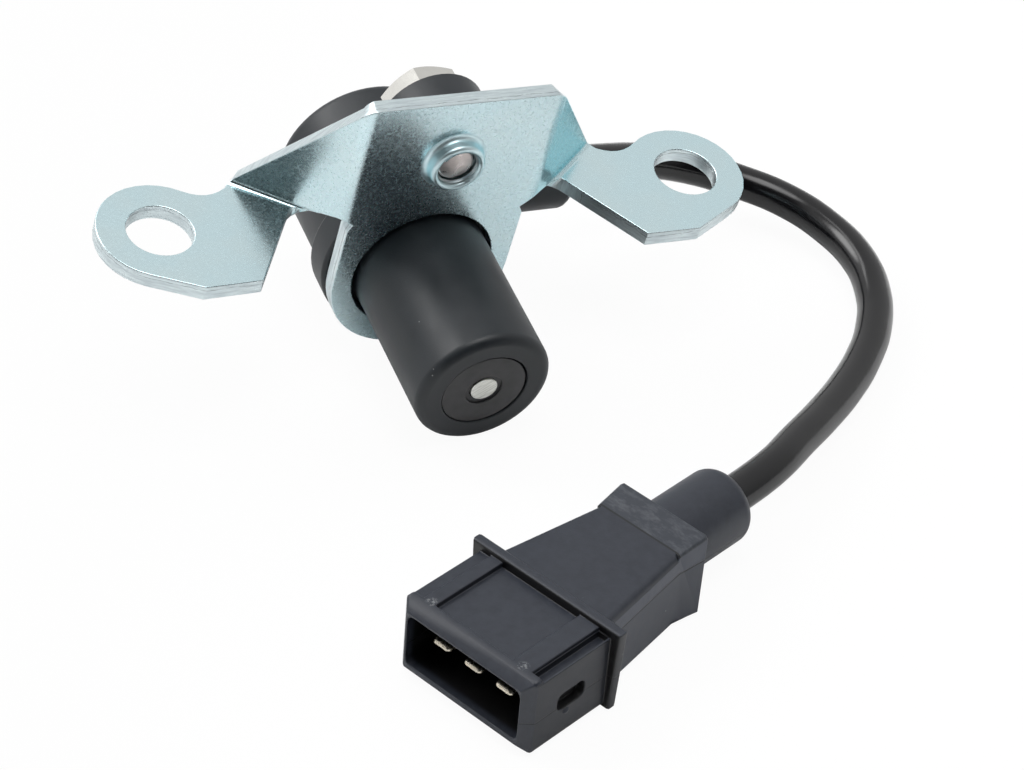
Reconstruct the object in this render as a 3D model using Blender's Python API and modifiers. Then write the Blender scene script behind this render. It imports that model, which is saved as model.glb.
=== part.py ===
# Inductive rotation sensor: a moulded probe on a folded steel bracket, wired to a three-pin connector.
# Metres, +Z up. The probe leans on its nose tip and on the bracket's lobe; the connector lies flat.

import math

import bmesh
import bpy
from mathutils import Matrix, Vector

mm = 0.001
gap = 0.3 * mm  # clearance between pieces that seat on each other
overrun = 1.0 * mm  # how far a cutting tool passes the face it cuts
overlap = 0.5 * mm  # how deep joined shapes pass into each other

# How the object lies: the probe's heading, its roll about the nose, and where its plate stands.
probe_heading = math.radians(26.7)
probe_roll = math.radians(5.26)
probe_x = -0.71 * mm
probe_y = -3.39 * mm
connector_heading = math.radians(-40.27)
connector_x = 9.71 * mm
connector_y = -73.99 * mm

# Bracket, a folded sheet. Plate front at height 0 of the probe frame, +Z there is towards the nose tip.
sheet = 2.2 * mm
plate_top = 29.1 * mm
plate_half_width = 13.5 * mm
lobe_radius = 12.55 * mm
lobe_drop = 0.8 * mm  # lobe's centre below the nose axis
lobe_side_top = 8.6 * mm  # where the lobe's straight side ends
notch_height = 9.6 * mm  # of the relief notch below each fold
notch_half_width = 12.0 * mm
web_foot = 10.8 * mm
web_angle = math.radians(37.0)
plate_bend = 3.5 * mm
ear_level = 10.1 * mm
ear_rise = 0.0147  # ears lean up towards their ends
ear_dip = 0.014  # and down towards the front
ear_bend = 0.8 * mm
fold_land = 1.3 * mm  # flat sheet between the ear fold and the cut edges
ear_fold_start = 6.9 * mm
ear_fold_end = 15.6 * mm
ear_hole_radius = 4.35 * mm
ear_hole_side = 37.5 * mm
ear_hole_forward = -2.0 * mm
ear_end_radius = 8.2 * mm
ear_notch_radius = 4.6 * mm
ear_front = 8.3 * mm
ear_inner_corner = 27.2 * mm
ear_outer_corner = 34.9 * mm
ear_outer_front = 8.5 * mm
ear_flank_turn = 27.1  # degrees, how far the front flank swings back
ear_arc_end = -128.0  # degrees, where the round end meets the notch
nose_hole_clearance = 0.6 * mm
collar_radius = 3.75 * mm
collar_round = 0.6 * mm
collar_fillet = 0.8 * mm
collar_height = 2.0 * mm
thread_chamfer = 0.3 * mm

# Probe moulding.
nose_radius = 9.25 * mm
nose_length = 22.35 * mm
nose_round = 1.3 * mm
nose_wall = 2.0 * mm
bobbin_bore = 7.5 * mm
bobbin_bore_depth = 5.0 * mm  # behind the plate front
flange_radius = 13.05 * mm
flange_thickness = 4.8 * mm
flange_chamfer = 0.4 * mm
body_radius = 11.75 * mm
body_length = 16.7 * mm
body_round = 1.5 * mm
chamber_radius = 9.6 * mm
lug_height = 19.5 * mm
lug_radius = 7.35 * mm
lug_thickness = 5.9 * mm
outlet_radius = 5.9 * mm
outlet_reach = 27.4 * mm
outlet_round = 1.2 * mm
outlet_from_back = 7.6 * mm

# Fastening.
screw_radius = 2.95 * mm
screw_core = 2.5 * mm
screw_head_flats = 10.0 * mm
screw_head_height = 4.0 * mm
screw_head_turn = math.radians(52.0)
screw_tip = 0.9 * mm
screw_chamfer = 0.5 * mm
crown_share = 0.9  # of the width across flats
crown_slope = math.radians(30.0)
sleeve_wall = 1.0 * mm

# Coil and magnet inside the nose.
spigot_radius = 5.6 * mm
spigot_set_back = 0.15 * mm
pin_radius = 1.85 * mm
pin_set_back = 0.25 * mm
pin_chamfer = 0.2 * mm
pin_recess = 2.5 * mm
pin_recess_depth = 0.3 * mm
spool_radius = 7.2 * mm
spool_hub = 3.4 * mm
spool_flange = 1.0 * mm
coil_radius = 6.6 * mm
coil_back = 4.0 * mm
magnet_radius = 3.5 * mm
magnet_length = 6.0 * mm
magnet_front = 1.7 * mm
tab_side = 5.5 * mm
tab_width = 2.0 * mm
tab_thickness = 0.6 * mm
tab_front = 0.2 * mm
tab_length = 9.2 * mm
cover_thickness = 1.7 * mm
cover_seat = 0.7 * mm
cover_plug = 1.5 * mm
cover_chamfer = 0.3 * mm

# Cable.
cable_radius = 2.5 * mm
cable_start = 12.0 * mm  # along the outlet
cable_step = 10.0 * mm
cable_short = 0.7 * mm  # the jacket ends this far inside the neck sleeve
core_radius = 0.6 * mm
core_offset = 1.1 * mm
core_lean = 0.6 * mm
core_swing = 2.0 * mm
core_step = 2.0 * mm
seal_radius = 4.0 * mm
seal_length = 7.5 * mm
seal_set_back = 0.2 * mm

# Connector. Its frame has +Z out of the mouth, so lengths back from the mouth are negative there.
mouth_half_width = 8.95 * mm
mouth_floor = 2.3 * mm
mouth_ceiling = 9.7 * mm
shell_half_width = 10.45 * mm
shell_bottom = 0.35 * mm
shell_top = 11.4 * mm
shell_length = 13.5 * mm
mouth_bevel = 1.3 * mm
mouth_round = 0.9 * mm
shell_round = 0.7 * mm
panel_left = -6.7 * mm
panel_right = 5.6 * mm
panel_depth = 0.7 * mm
panel_front = 2.2 * mm
rail_outer = 8.6 * mm
rail_step = 0.5 * mm
window_front = 5.1 * mm
window_back = 9.7 * mm
window_bottom = 4.6 * mm
window_top = 7.0 * mm
window_depth = 1.2 * mm
window_round = 0.8 * mm
key_half_width = 1.5 * mm
key_bottom = 0.15 * mm
key_front = 1.2 * mm
key_back = 4.0 * mm
key_root = 1.9 * mm  # where the key ends inside the shell's floor
flat_collar_half_width = 11.8 * mm
flat_collar_top = 12.0 * mm
flat_collar_thickness = 1.5 * mm
flat_collar_corner = 1.8 * mm
flat_collar_round = 0.35 * mm
flat_collar_foot = 0.95  # width of the lower half against the upper
rear_front_half_width = 9.0 * mm
rear_back_half_width = 6.6 * mm
rear_bevel = 0.9 * mm
rear_bottom = 0.8 * mm
rear_length = 15.5 * mm
rear_wall = 1.5 * mm
lip_length = 4.3 * mm
lip_half_width = 7.0 * mm
lip_top = 12.1 * mm
lip_bevel = 0.45 * mm
neck_radius = 5.05 * mm
neck_length = 12.4 * mm
neck_round = 1.75 * mm
neck_level = 6.1 * mm
neck_side = -0.3 * mm
neck_straight = 2.0 * mm
neck_spigot = 4.4 * mm
neck_spigot_length = 3.5 * mm
carrier_face = 11.2 * mm
carrier_thickness = 3.0 * mm
carrier_shoulder = 0.8 * mm
blade_pitch = 5.0 * mm
blade_width = 2.8 * mm
blade_thickness = 0.8 * mm
blade_tip = 1.6 * mm
blade_level = 6.5 * mm
blade_length = 15.6 * mm
blade_bevel = 0.25 * mm
blade_corner = 0.6 * mm
barrel_radius = 1.15 * mm
barrel_length = 4.8 * mm
lead_radius = 0.7 * mm
lead_spread = 1.75 * mm
lead_straight = 3.0 * mm
lead_gather = 0.8  # side of the bend against the blade's side
lead_step = 2.2 * mm

# Where the free cable runs, from the outlet round to the connector: x, y and height of its middle.
cable_route = (
    (22.5, 28.0, 12.3),
    (28.0, 32.0, 10.4),
    (34.8, 34.9, 8.2),
    (42.0, 35.4, 6.2),
    (49.2, 33.4, 4.9),
    (55.2, 28.9, 3.9),
    (59.4, 22.6, 3.3),
    (61.3, 15.0, 2.8),
    (61.0, 7.0, 2.6),
    (59.2, -0.6, 2.7),
    (56.5, -8.1, 3.2),
    (53.3, -15.4, 4.1),
    (49.8, -22.6, 5.2),
    (46.0, -30.0, 6.0),
)

flange_front = -(sheet + gap)
flange_back = flange_front - flange_thickness
body_back = flange_back - body_length
lug_back = flange_front - lug_thickness
outlet_level = body_back + outlet_from_back
spool_front = nose_length - nose_wall - gap
spool_back = -bobbin_bore_depth + gap
neck_front = -(shell_length + flat_collar_thickness + rear_length + lip_length + gap)
cable_end = neck_front + neck_spigot_length - cable_short

for old in list(bpy.data.objects):
    bpy.data.objects.remove(old, do_unlink=True)

parts = bpy.data.collections.new("rotation_sensor")
cutters = bpy.data.collections.new("cutters")
bpy.context.scene.collection.children.link(parts)
bpy.context.scene.collection.children.link(cutters)


def make_material(name, colour, roughness, metallic=0.0):
    material = bpy.data.materials.new(name)
    material.use_nodes = True
    shader = material.node_tree.nodes["Principled BSDF"]
    shader.inputs["Base Color"].default_value = (*colour, 1.0)
    shader.inputs["Roughness"].default_value = roughness
    shader.inputs["Metallic"].default_value = metallic
    return material


def add_frame(name, matrix):
    frame = bpy.data.objects.new(name, None)
    parts.objects.link(frame)
    frame.matrix_world = matrix
    return frame


def add_part(name, mesh, frame, material):
    part = bpy.data.objects.new(name, mesh)
    parts.objects.link(part)
    part.parent = frame
    mesh.materials.append(material)
    return part


def add_tool(name, mesh, frame):
    # A tool only shapes other pieces, so it isn't shown.
    tool = bpy.data.objects.new(name, mesh)
    cutters.objects.link(tool)
    tool.parent = frame
    tool.hide_render = True
    tool.display_type = "WIRE"
    return tool


def shape(part, tool, operation="DIFFERENCE"):
    modifier = part.modifiers.new(tool.name, "BOOLEAN")
    modifier.operation = operation
    modifier.solver = "EXACT"
    modifier.object = tool


def mesh_from(name, bm):
    mesh = bpy.data.meshes.new(name)
    bm.to_mesh(mesh)
    bm.free()
    return mesh


def smooth(mesh, angle=30.0):
    mesh.shade_smooth()
    mesh.set_sharp_from_angle(angle=math.radians(angle))


def arc(centre, radius, start, end, count):
    # Points on an arc in the plane, from one angle to another, in degrees.
    points = []
    for i in range(count + 1):
        angle = math.radians(start + (end - start) * i / count)
        points.append((centre[0] + radius * math.cos(angle), centre[1] + radius * math.sin(angle)))
    return points


def box(name, low, high, bevel=0.0, bevel_axis=2):
    # A block between two corners; its edges along one axis may be rounded off.
    bm = bmesh.new()
    bmesh.ops.create_cube(bm, size=1.0)
    low = Vector(low)
    high = Vector(high)
    bmesh.ops.scale(bm, vec=high - low, verts=bm.verts)
    bmesh.ops.translate(bm, vec=(low + high) / 2, verts=bm.verts)
    if bevel:
        along = [e for e in bm.edges if abs((e.verts[0].co - e.verts[1].co)[bevel_axis]) > bevel]
        bmesh.ops.bevel(bm, geom=along, offset=bevel, segments=3, profile=0.5, affect="EDGES")
    return mesh_from(name, bm)


def tapered_block(name, front, back, depth, length, bevel=0.0):
    # A block along -Z from depth, whose front and back sections are (half width, bottom, top).
    # Its two upper long edges may be bevelled.
    bm = bmesh.new()
    bmesh.ops.create_cube(bm, size=2.0)
    for vert in bm.verts:
        half_width, bottom, top = front if vert.co.z > 0 else back
        z = -depth if vert.co.z > 0 else -depth - length
        vert.co = (vert.co.x * half_width, top if vert.co.y > 0 else bottom, z)
    if bevel:
        middle = (front[1] + front[2]) / 2
        upper = [e for e in bm.edges if all(v.co.y > middle for v in e.verts)]
        long = [e for e in upper if abs(e.verts[0].co.z - e.verts[1].co.z) > length / 2]
        bmesh.ops.bevel(bm, geom=long, offset=bevel, segments=1, profile=0.5, affect="EDGES")
    return mesh_from(name, bm)


def rod(name, radius, start, end, sides=32):
    # A round bar from one point to another.
    start = Vector(start)
    axis = Vector(end) - start
    turn = axis.to_track_quat("Z", "Y").to_matrix().to_4x4()
    place = Matrix.Translation(start + axis / 2) @ turn
    bm = bmesh.new()
    bmesh.ops.create_cone(
        bm,
        cap_ends=True,
        segments=sides,
        radius1=radius,
        radius2=radius,
        depth=axis.length,
        matrix=place,
    )
    mesh = mesh_from(name, bm)
    smooth(mesh)
    return mesh


def plate(name, outline, low, high):
    # A flat outline in X and Y given depth along Z.
    bm = bmesh.new()
    face = bm.faces.new([bm.verts.new((x, y, low)) for x, y in outline])
    grown = bmesh.ops.extrude_face_region(bm, geom=[face])
    moved = [item for item in grown["geom"] if isinstance(item, bmesh.types.BMVert)]
    bmesh.ops.translate(bm, vec=(0.0, 0.0, high - low), verts=moved)
    bmesh.ops.recalc_face_normals(bm, faces=bm.faces)
    return mesh_from(name, bm)


def profile_mesh(name, profile, closed):
    # Radius and height of a turned shape, down its outer side.
    mesh = bpy.data.meshes.new(name)
    vertices = [(radius, 0.0, height) for radius, height in profile]
    edges = [(i, i + 1) for i in range(len(vertices) - 1)]
    if closed:
        edges.append((len(vertices) - 1, 0))
    mesh.from_pydata(vertices, edges, [])
    return mesh


def turn_profile(turned, steps):
    screw = turned.modifiers.new("turn", "SCREW")
    screw.axis = "Z"
    screw.angle = 2 * math.pi
    screw.steps = steps
    screw.render_steps = steps
    screw.use_merge_vertices = True
    screw.merge_threshold = 0.000001
    screw.use_smooth_shade = True


def turned_part(name, profile, frame, material, steps=40, closed=False):
    part = add_part(name, profile_mesh(name, profile, closed), frame, material)
    turn_profile(part, steps)
    return part


def turned_tool(name, profile, frame, steps=40):
    tool = add_tool(name, profile_mesh(name, profile, False), frame)
    turn_profile(tool, steps)
    return tool


def smooth_route(points, spacing):
    # A Catmull-Rom curve through the points, read at even distances.
    padded = [2 * points[0] - points[1], *points, 2 * points[-1] - points[-2]]
    fine = []
    for a, b, c, d in zip(padded, padded[1:], padded[2:], padded[3:]):
        for i in range(12):
            t = i / 12
            along = (c - a) * t
            bend = (2 * a - 5 * b + 4 * c - d) * t * t
            twist = (3 * b - a - 3 * c + d) * t * t * t
            fine.append(b + (along + bend + twist) / 2)
    fine.append(points[-1])
    lengths = [0.0]
    for a, b in zip(fine, fine[1:]):
        lengths.append(lengths[-1] + (b - a).length)
    count = max(2, round(lengths[-1] / spacing))
    read = [points[0]]
    for step in range(1, count):
        target = lengths[-1] * step / count
        i = next(i for i, reached in enumerate(lengths) if reached >= target)
        share = (target - lengths[i - 1]) / (lengths[i] - lengths[i - 1])
        read.append(fine[i - 1].lerp(fine[i], share))
    read.append(points[-1])
    return read


def tube(name, points, radius, material, resolution=2):
    # A wire or cable as a round tube with closed ends, in world coordinates.
    curve = bpy.data.curves.new(name, "CURVE")
    curve.dimensions = "3D"
    curve.bevel_depth = radius
    curve.bevel_resolution = resolution
    curve.use_fill_caps = True
    spline = curve.splines.new("POLY")
    spline.points.add(len(points) - 1)
    for control, point in zip(spline.points, points):
        control.co = (*point, 1.0)
    curve.materials.append(material)
    wire = bpy.data.objects.new(name, curve)
    parts.objects.link(wire)
    return wire


def probe_matrix():
    # The pitch at which the lobe's front edge and the rounded nose tip touch the same table.
    lobe_reach = lobe_drop + lobe_radius
    run = nose_length - nose_round
    rise = lobe_reach - (nose_radius - nose_round)
    pitch = math.atan2(rise, run) - math.asin(nose_round / math.hypot(run, rise))
    turn = (
        Matrix.Rotation(probe_heading, 4, "Z")
        @ Matrix.Rotation(pitch, 4, "X")
        @ Matrix.Rotation(probe_roll, 4, "Y")
        @ Matrix.Rotation(math.pi / 2, 4, "X")
    )
    lift = lobe_radius * math.hypot(turn[2][0], turn[2][1]) + lobe_drop * turn[2][1]
    return Matrix.Translation((probe_x, probe_y, lift)) @ turn


def connector_matrix():
    turn = Matrix.Rotation(connector_heading, 4, "Z") @ Matrix.Rotation(math.pi / 2, 4, "X")
    return Matrix.Translation((connector_x, connector_y, 0.0)) @ turn


probe = add_frame("probe_frame", probe_matrix())
connector = add_frame("connector_frame", connector_matrix())

charcoal = make_material("moulded_black", (0.028, 0.029, 0.033), 0.5)
slate = make_material("connector_black", (0.026, 0.029, 0.036), 0.55)
zinc = make_material("zinc_plate", (0.62, 0.68, 0.70), 0.28, 1.0)
steel = make_material("bright_steel", (0.72, 0.70, 0.67), 0.25, 1.0)
pole_steel = make_material("pole_steel", (0.60, 0.58, 0.53), 0.4, 1.0)
magnet_grey = make_material("magnet_grey", (0.20, 0.20, 0.21), 0.45, 1.0)
copper = make_material("enamelled_copper", (0.55, 0.20, 0.07), 0.35, 1.0)
brass = make_material("tinned_brass", (0.78, 0.74, 0.62), 0.3, 1.0)
spool_plastic = make_material("spool_plastic", (0.03, 0.03, 0.03), 0.5)
cable_black = make_material("cable_black", (0.012, 0.012, 0.013), 0.32)
seal_rubber = make_material("seal_rubber", (0.02, 0.02, 0.02), 0.7)
core_colours = (
    make_material("core_brown", (0.16, 0.07, 0.03), 0.45),
    make_material("core_blue", (0.03, 0.08, 0.30), 0.45),
    make_material("core_white", (0.70, 0.70, 0.68), 0.45),
)


def fold_bracket():
    # Half of the sheet's front surface, folded at two lines, then mirrored and given its thickness.
    out = Vector((math.cos(web_angle), 0.0, -math.sin(web_angle)))
    facing = Vector((math.sin(web_angle), 0.0, math.cos(web_angle)))
    fold_foot = Vector((plate_half_width, web_foot, 0.0))
    fold_top = Vector((plate_half_width, plate_top, 0.0))

    def on_web(reach, height):
        return Vector((plate_half_width, height, 0.0)) + out * reach

    def on_ear(x, z):
        return Vector((x, ear_level + ear_rise * x - ear_dip * z, z))

    inner = on_web(ear_fold_start, 0.0)
    inner = on_ear(inner.x, inner.z)
    outer = on_web(ear_fold_end, 0.0)
    outer = on_ear(outer.x, outer.z)
    lobe = arc((0.0, -lobe_drop), lobe_radius, -90.0, 0.0, 14)
    lower = [Vector((x, y, 0.0)) for x, y in lobe]
    lower.append(Vector((lobe_radius, lobe_side_top, 0.0)))
    lower.append(Vector((notch_half_width, notch_height, 0.0)))
    plate_outline = [*lower, fold_foot, fold_top, Vector((0.0, plate_top, 0.0))]

    hole = Vector((ear_hole_side, 0.0, ear_hole_forward))
    corner = Vector((ear_outer_corner, 0.0, ear_outer_front))
    end_arc = arc((hole.x, hole.z), ear_end_radius, 90.0 - ear_flank_turn, ear_arc_end, 18)
    notch_side = Vector((outer.x, 0.0, outer.z)) + facing * fold_land
    end_point = Vector((end_arc[-1][0], 0.0, end_arc[-1][1]))
    chord = notch_side - end_point
    sagitta = ear_notch_radius - math.sqrt(ear_notch_radius**2 - (chord.length / 2) ** 2)
    across = Vector((-chord.z, 0.0, chord.x)).normalized()
    across = across if across.z > 0 else -across
    notch = []
    for i in range(1, 6):
        share = i / 6
        swell = 1 - (2 * share - 1) ** 2
        notch.append(end_point + chord * share + across * sagitta * swell)
    rim = [Vector((x, 0.0, z)) for x, z in end_arc]
    inner_edge = Vector((inner.x, 0.0, inner.z)) + facing * fold_land
    ear_run = [
        inner_edge,
        Vector((ear_inner_corner, 0.0, ear_front)),
        corner,
        *rim,
        *notch,
        notch_side,
    ]
    ear_points = [on_ear(p.x, p.z) for p in ear_run]

    bm = bmesh.new()
    made = {}

    def vert(point):
        key = tuple(round(value * 1e7) for value in point)
        if key not in made:
            made[key] = bm.verts.new(point)
        return made[key]

    bm.faces.new([vert(p) for p in plate_outline])
    bm.faces.new([vert(p) for p in (fold_foot, inner, outer, fold_top)])
    bm.faces.new([vert(p) for p in (inner, *ear_points, outer)])
    plate_fold = bm.edges.get((vert(fold_foot), vert(fold_top)))
    ear_fold = bm.edges.get((vert(inner), vert(outer)))
    bmesh.ops.bevel(
        bm,
        geom=[plate_fold],
        offset=plate_bend * math.tan(web_angle / 2),
        segments=5,
        profile=0.5,
        affect="EDGES",
    )
    ear_fold = bm.edges.get((vert(inner), vert(outer)))
    bmesh.ops.bevel(bm, geom=[ear_fold], offset=ear_bend, segments=5, profile=0.5, affect="EDGES")
    return mesh_from("bracket", bm)


def make_bracket():
    bracket = add_part("bracket", fold_bracket(), probe, zinc)
    mirror = bracket.modifiers.new("other half", "MIRROR")
    mirror.use_clip = True
    mirror.merge_threshold = 0.00001
    solidify = bracket.modifiers.new("sheet", "SOLIDIFY")
    solidify.thickness = sheet
    solidify.offset = -1.0
    solidify.use_even_offset = True
    foot_radius = collar_radius + collar_fillet
    rim_middle = (collar_radius - collar_round, collar_height - collar_round)
    rim = arc(rim_middle, collar_round, 90.0, 0.0, 4)
    foot = arc((foot_radius, collar_fillet), collar_fillet, 180.0, 270.0, 4)
    collar = turned_tool(
        "bracket_collar",
        (
            (0.0, collar_height),
            *rim,
            *foot,
            (foot_radius, -sheet / 2),
            (0.0, -sheet / 2),
        ),
        probe,
        36,
    )
    collar.location = (0.0, lug_height, 0.0)
    shape(bracket, collar, "UNION")
    thread_hole = turned_tool(
        "bracket_thread_hole",
        (
            (0.0, collar_height + overrun),
            (screw_core + gap + thread_chamfer + overrun, collar_height + overrun),
            (screw_core + gap, collar_height - thread_chamfer),
            (screw_core + gap, -sheet - overrun),
            (0.0, -sheet - overrun),
        ),
        probe,
        36,
    )
    thread_hole.location = (0.0, lug_height, 0.0)
    shape(bracket, thread_hole)
    nose_hole = rod(
        "bracket_nose_hole",
        nose_radius + nose_hole_clearance,
        (0.0, 0.0, -2 * sheet),
        (0.0, 0.0, sheet),
        64,
    )
    shape(bracket, add_tool("bracket_nose_hole", nose_hole, probe))
    for side, label in ((-1, "left"), (1, "right")):
        name = f"bracket_ear_hole_{label}"
        hole = rod(
            name,
            ear_hole_radius,
            (side * ear_hole_side, ear_level - 2 * sheet, ear_hole_forward),
            (side * ear_hole_side, ear_level + sheet, ear_hole_forward),
            40,
        )
        shape(bracket, add_tool(name, hole, probe))


def make_housing():
    # One moulding: nose, flange, body, screw lug and cable outlet, bored out from behind.
    nose_edge = arc((nose_radius - nose_round, nose_length - nose_round), nose_round, 90.0, 0.0, 5)
    back_edge = arc((body_radius - body_round, body_back + body_round), body_round, 0.0, -90.0, 5)
    housing = turned_part(
        "sensor_housing",
        (
            (0.0, nose_length),
            *nose_edge,
            (nose_radius, flange_front),
            (flange_radius - flange_chamfer, flange_front),
            (flange_radius, flange_front - flange_chamfer),
            (flange_radius, flange_back + flange_chamfer),
            (flange_radius - flange_chamfer, flange_back),
            (body_radius, flange_back),
            *back_edge,
            (0.0, body_back),
        ),
        probe,
        charcoal,
        64,
    )
    lug_outline = [
        *arc((0.0, lug_height), lug_radius, 0.0, 180.0, 24),
        (-lug_radius, 0.0),
        (lug_radius, 0.0),
    ]
    lug = add_tool("housing_lug", plate("housing_lug", lug_outline, lug_back, flange_front), probe)
    shape(housing, lug, "UNION")
    outlet_edge = arc(
        (outlet_radius - outlet_round, outlet_reach - outlet_round), outlet_round, 90.0, 0.0, 4
    )
    outlet = turned_tool(
        "housing_outlet",
        ((0.0, outlet_reach), *outlet_edge, (outlet_radius, 0.0), (0.0, 0.0)),
        probe,
        36,
    )
    outlet.location = (0.0, 0.0, outlet_level)
    outlet.rotation_euler = (0.0, math.pi / 2, 0.0)
    shape(housing, outlet, "UNION")
    cavity = turned_tool(
        "housing_cavity",
        (
            (0.0, nose_length + overrun),
            (spigot_radius + gap, nose_length + overrun),
            (spigot_radius + gap, nose_length - nose_wall),
            (bobbin_bore, nose_length - nose_wall),
            (bobbin_bore, -bobbin_bore_depth),
            (chamber_radius, -bobbin_bore_depth),
            (chamber_radius, body_back + cover_thickness + gap),
            (chamber_radius + cover_seat, body_back + cover_thickness + gap),
            (chamber_radius + cover_seat, body_back - overrun),
            (0.0, body_back - overrun),
        ),
        probe,
        48,
    )
    shape(housing, cavity)
    lug_bore = rod(
        "housing_lug_bore",
        screw_radius + gap + sleeve_wall + gap,
        (0.0, lug_height, lug_back - overrun),
        (0.0, lug_height, flange_front + overrun),
        36,
    )
    shape(housing, add_tool("housing_lug_bore", lug_bore, probe))
    cable_bore = turned_tool(
        "housing_cable_bore",
        (
            (0.0, outlet_reach + overrun),
            (seal_radius + gap, outlet_reach + overrun),
            (seal_radius + gap, outlet_reach - seal_length - gap),
            (cable_radius + gap, outlet_reach - seal_length - gap),
            (cable_radius + gap, chamber_radius / 2),
            (0.0, chamber_radius / 2),
        ),
        probe,
        24,
    )
    cable_bore.location = (0.0, 0.0, outlet_level)
    cable_bore.rotation_euler = (0.0, math.pi / 2, 0.0)
    shape(housing, cable_bore)


def make_fastening():
    sleeve_inner = screw_radius + gap
    sleeve_outer = sleeve_inner + sleeve_wall
    sleeve = turned_part(
        "lug_sleeve",
        (
            (sleeve_inner, flange_front),
            (sleeve_outer, flange_front),
            (sleeve_outer, lug_back),
            (sleeve_inner, lug_back),
        ),
        probe,
        steel,
        32,
        closed=True,
    )
    sleeve.location = (0.0, lug_height, 0.0)
    head_seat = lug_back - gap
    head_back = head_seat - screw_head_height
    head_corner = screw_head_flats / 2 / math.cos(math.pi / 6)
    crown = screw_head_flats / 2 * crown_share
    crown_drop = (head_corner - crown) * math.tan(crown_slope)
    screw = turned_part(
        "fixing_screw",
        (
            (0.0, screw_tip),
            (screw_core - screw_chamfer, screw_tip),
            (screw_core, screw_tip - screw_chamfer),
            (screw_core, flange_front),
            (screw_radius, flange_front - (screw_radius - screw_core)),
            (screw_radius, head_seat),
            (head_corner + gap, head_seat),
            (head_corner, head_back + crown_drop),
            (crown, head_back),
            (0.0, head_back),
        ),
        probe,
        steel,
        36,
    )
    hexagon = []
    for i in range(6):
        turn = screw_head_turn + math.pi / 3 * i
        hexagon.append((head_corner * math.cos(turn), head_corner * math.sin(turn)))
    screw.location = (0.0, lug_height, 0.0)
    blank = plate("screw_hexagon", hexagon, head_back - overrun, screw_tip + overrun)
    flats = add_tool("screw_hexagon", blank, probe)
    flats.location = screw.location
    shape(screw, flats, "INTERSECT")


def make_coil():
    spigot_face = nose_length - spigot_set_back
    bobbin = turned_part(
        "coil_bobbin",
        (
            (pin_radius + gap, spigot_face - pin_recess_depth),
            (pin_recess, spigot_face - pin_recess_depth),
            (pin_recess, spigot_face),
            (spigot_radius, spigot_face),
            (spigot_radius, spool_front),
            (spool_radius, spool_front),
            (spool_radius, spool_front - spool_flange),
            (spool_hub, spool_front - spool_flange),
            (spool_hub, coil_back),
            (spool_radius, coil_back),
            (spool_radius, spool_back),
            (magnet_radius + gap, spool_back),
            (magnet_radius + gap, magnet_front + gap),
            (pin_radius + gap, magnet_front + gap),
        ),
        probe,
        spool_plastic,
        48,
        closed=True,
    )
    for side, label in ((-1, "left"), (1, "right")):
        name = f"bobbin_slot_{label}"
        middle = side * tab_side
        slot = box(
            name,
            (middle - tab_thickness / 2 - gap, -tab_width / 2 - gap, spool_back - overrun),
            (middle + tab_thickness / 2 + gap, tab_width / 2 + gap, tab_front + gap),
        )
        shape(bobbin, add_tool(name, slot, probe))
        tab = box(
            f"coil_tab_{label}",
            (middle - tab_thickness / 2, -tab_width / 2, tab_front - tab_length),
            (middle + tab_thickness / 2, tab_width / 2, tab_front),
        )
        add_part(f"coil_tab_{label}", tab, probe, brass)
    coil_front = spool_front - spool_flange - gap
    turned_part(
        "coil_winding",
        (
            (spool_hub + gap, coil_front),
            (coil_radius, coil_front),
            (coil_radius, coil_back + gap),
            (spool_hub + gap, coil_back + gap),
        ),
        probe,
        copper,
        40,
        closed=True,
    )
    pin_face = nose_length - pin_set_back
    turned_part(
        "pole_pin",
        (
            (0.0, pin_face),
            (pin_radius - pin_chamfer, pin_face),
            (pin_radius, pin_face - pin_chamfer),
            (pin_radius, magnet_front + gap),
            (0.0, magnet_front + gap),
        ),
        probe,
        pole_steel,
        32,
    )
    turned_part(
        "magnet",
        (
            (0.0, magnet_front),
            (magnet_radius, magnet_front),
            (magnet_radius, magnet_front - magnet_length),
            (0.0, magnet_front - magnet_length),
        ),
        probe,
        magnet_grey,
        32,
    )
    cover_radius = chamber_radius + cover_seat - gap
    cover_face = body_back + cover_thickness
    turned_part(
        "rear_cover",
        (
            (0.0, cover_face + cover_plug),
            (chamber_radius - gap, cover_face + cover_plug),
            (chamber_radius - gap, cover_face),
            (cover_radius, cover_face),
            (cover_radius, body_back + cover_chamfer),
            (cover_radius - cover_chamfer, body_back),
            (0.0, body_back),
        ),
        probe,
        charcoal,
        48,
    )


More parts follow.
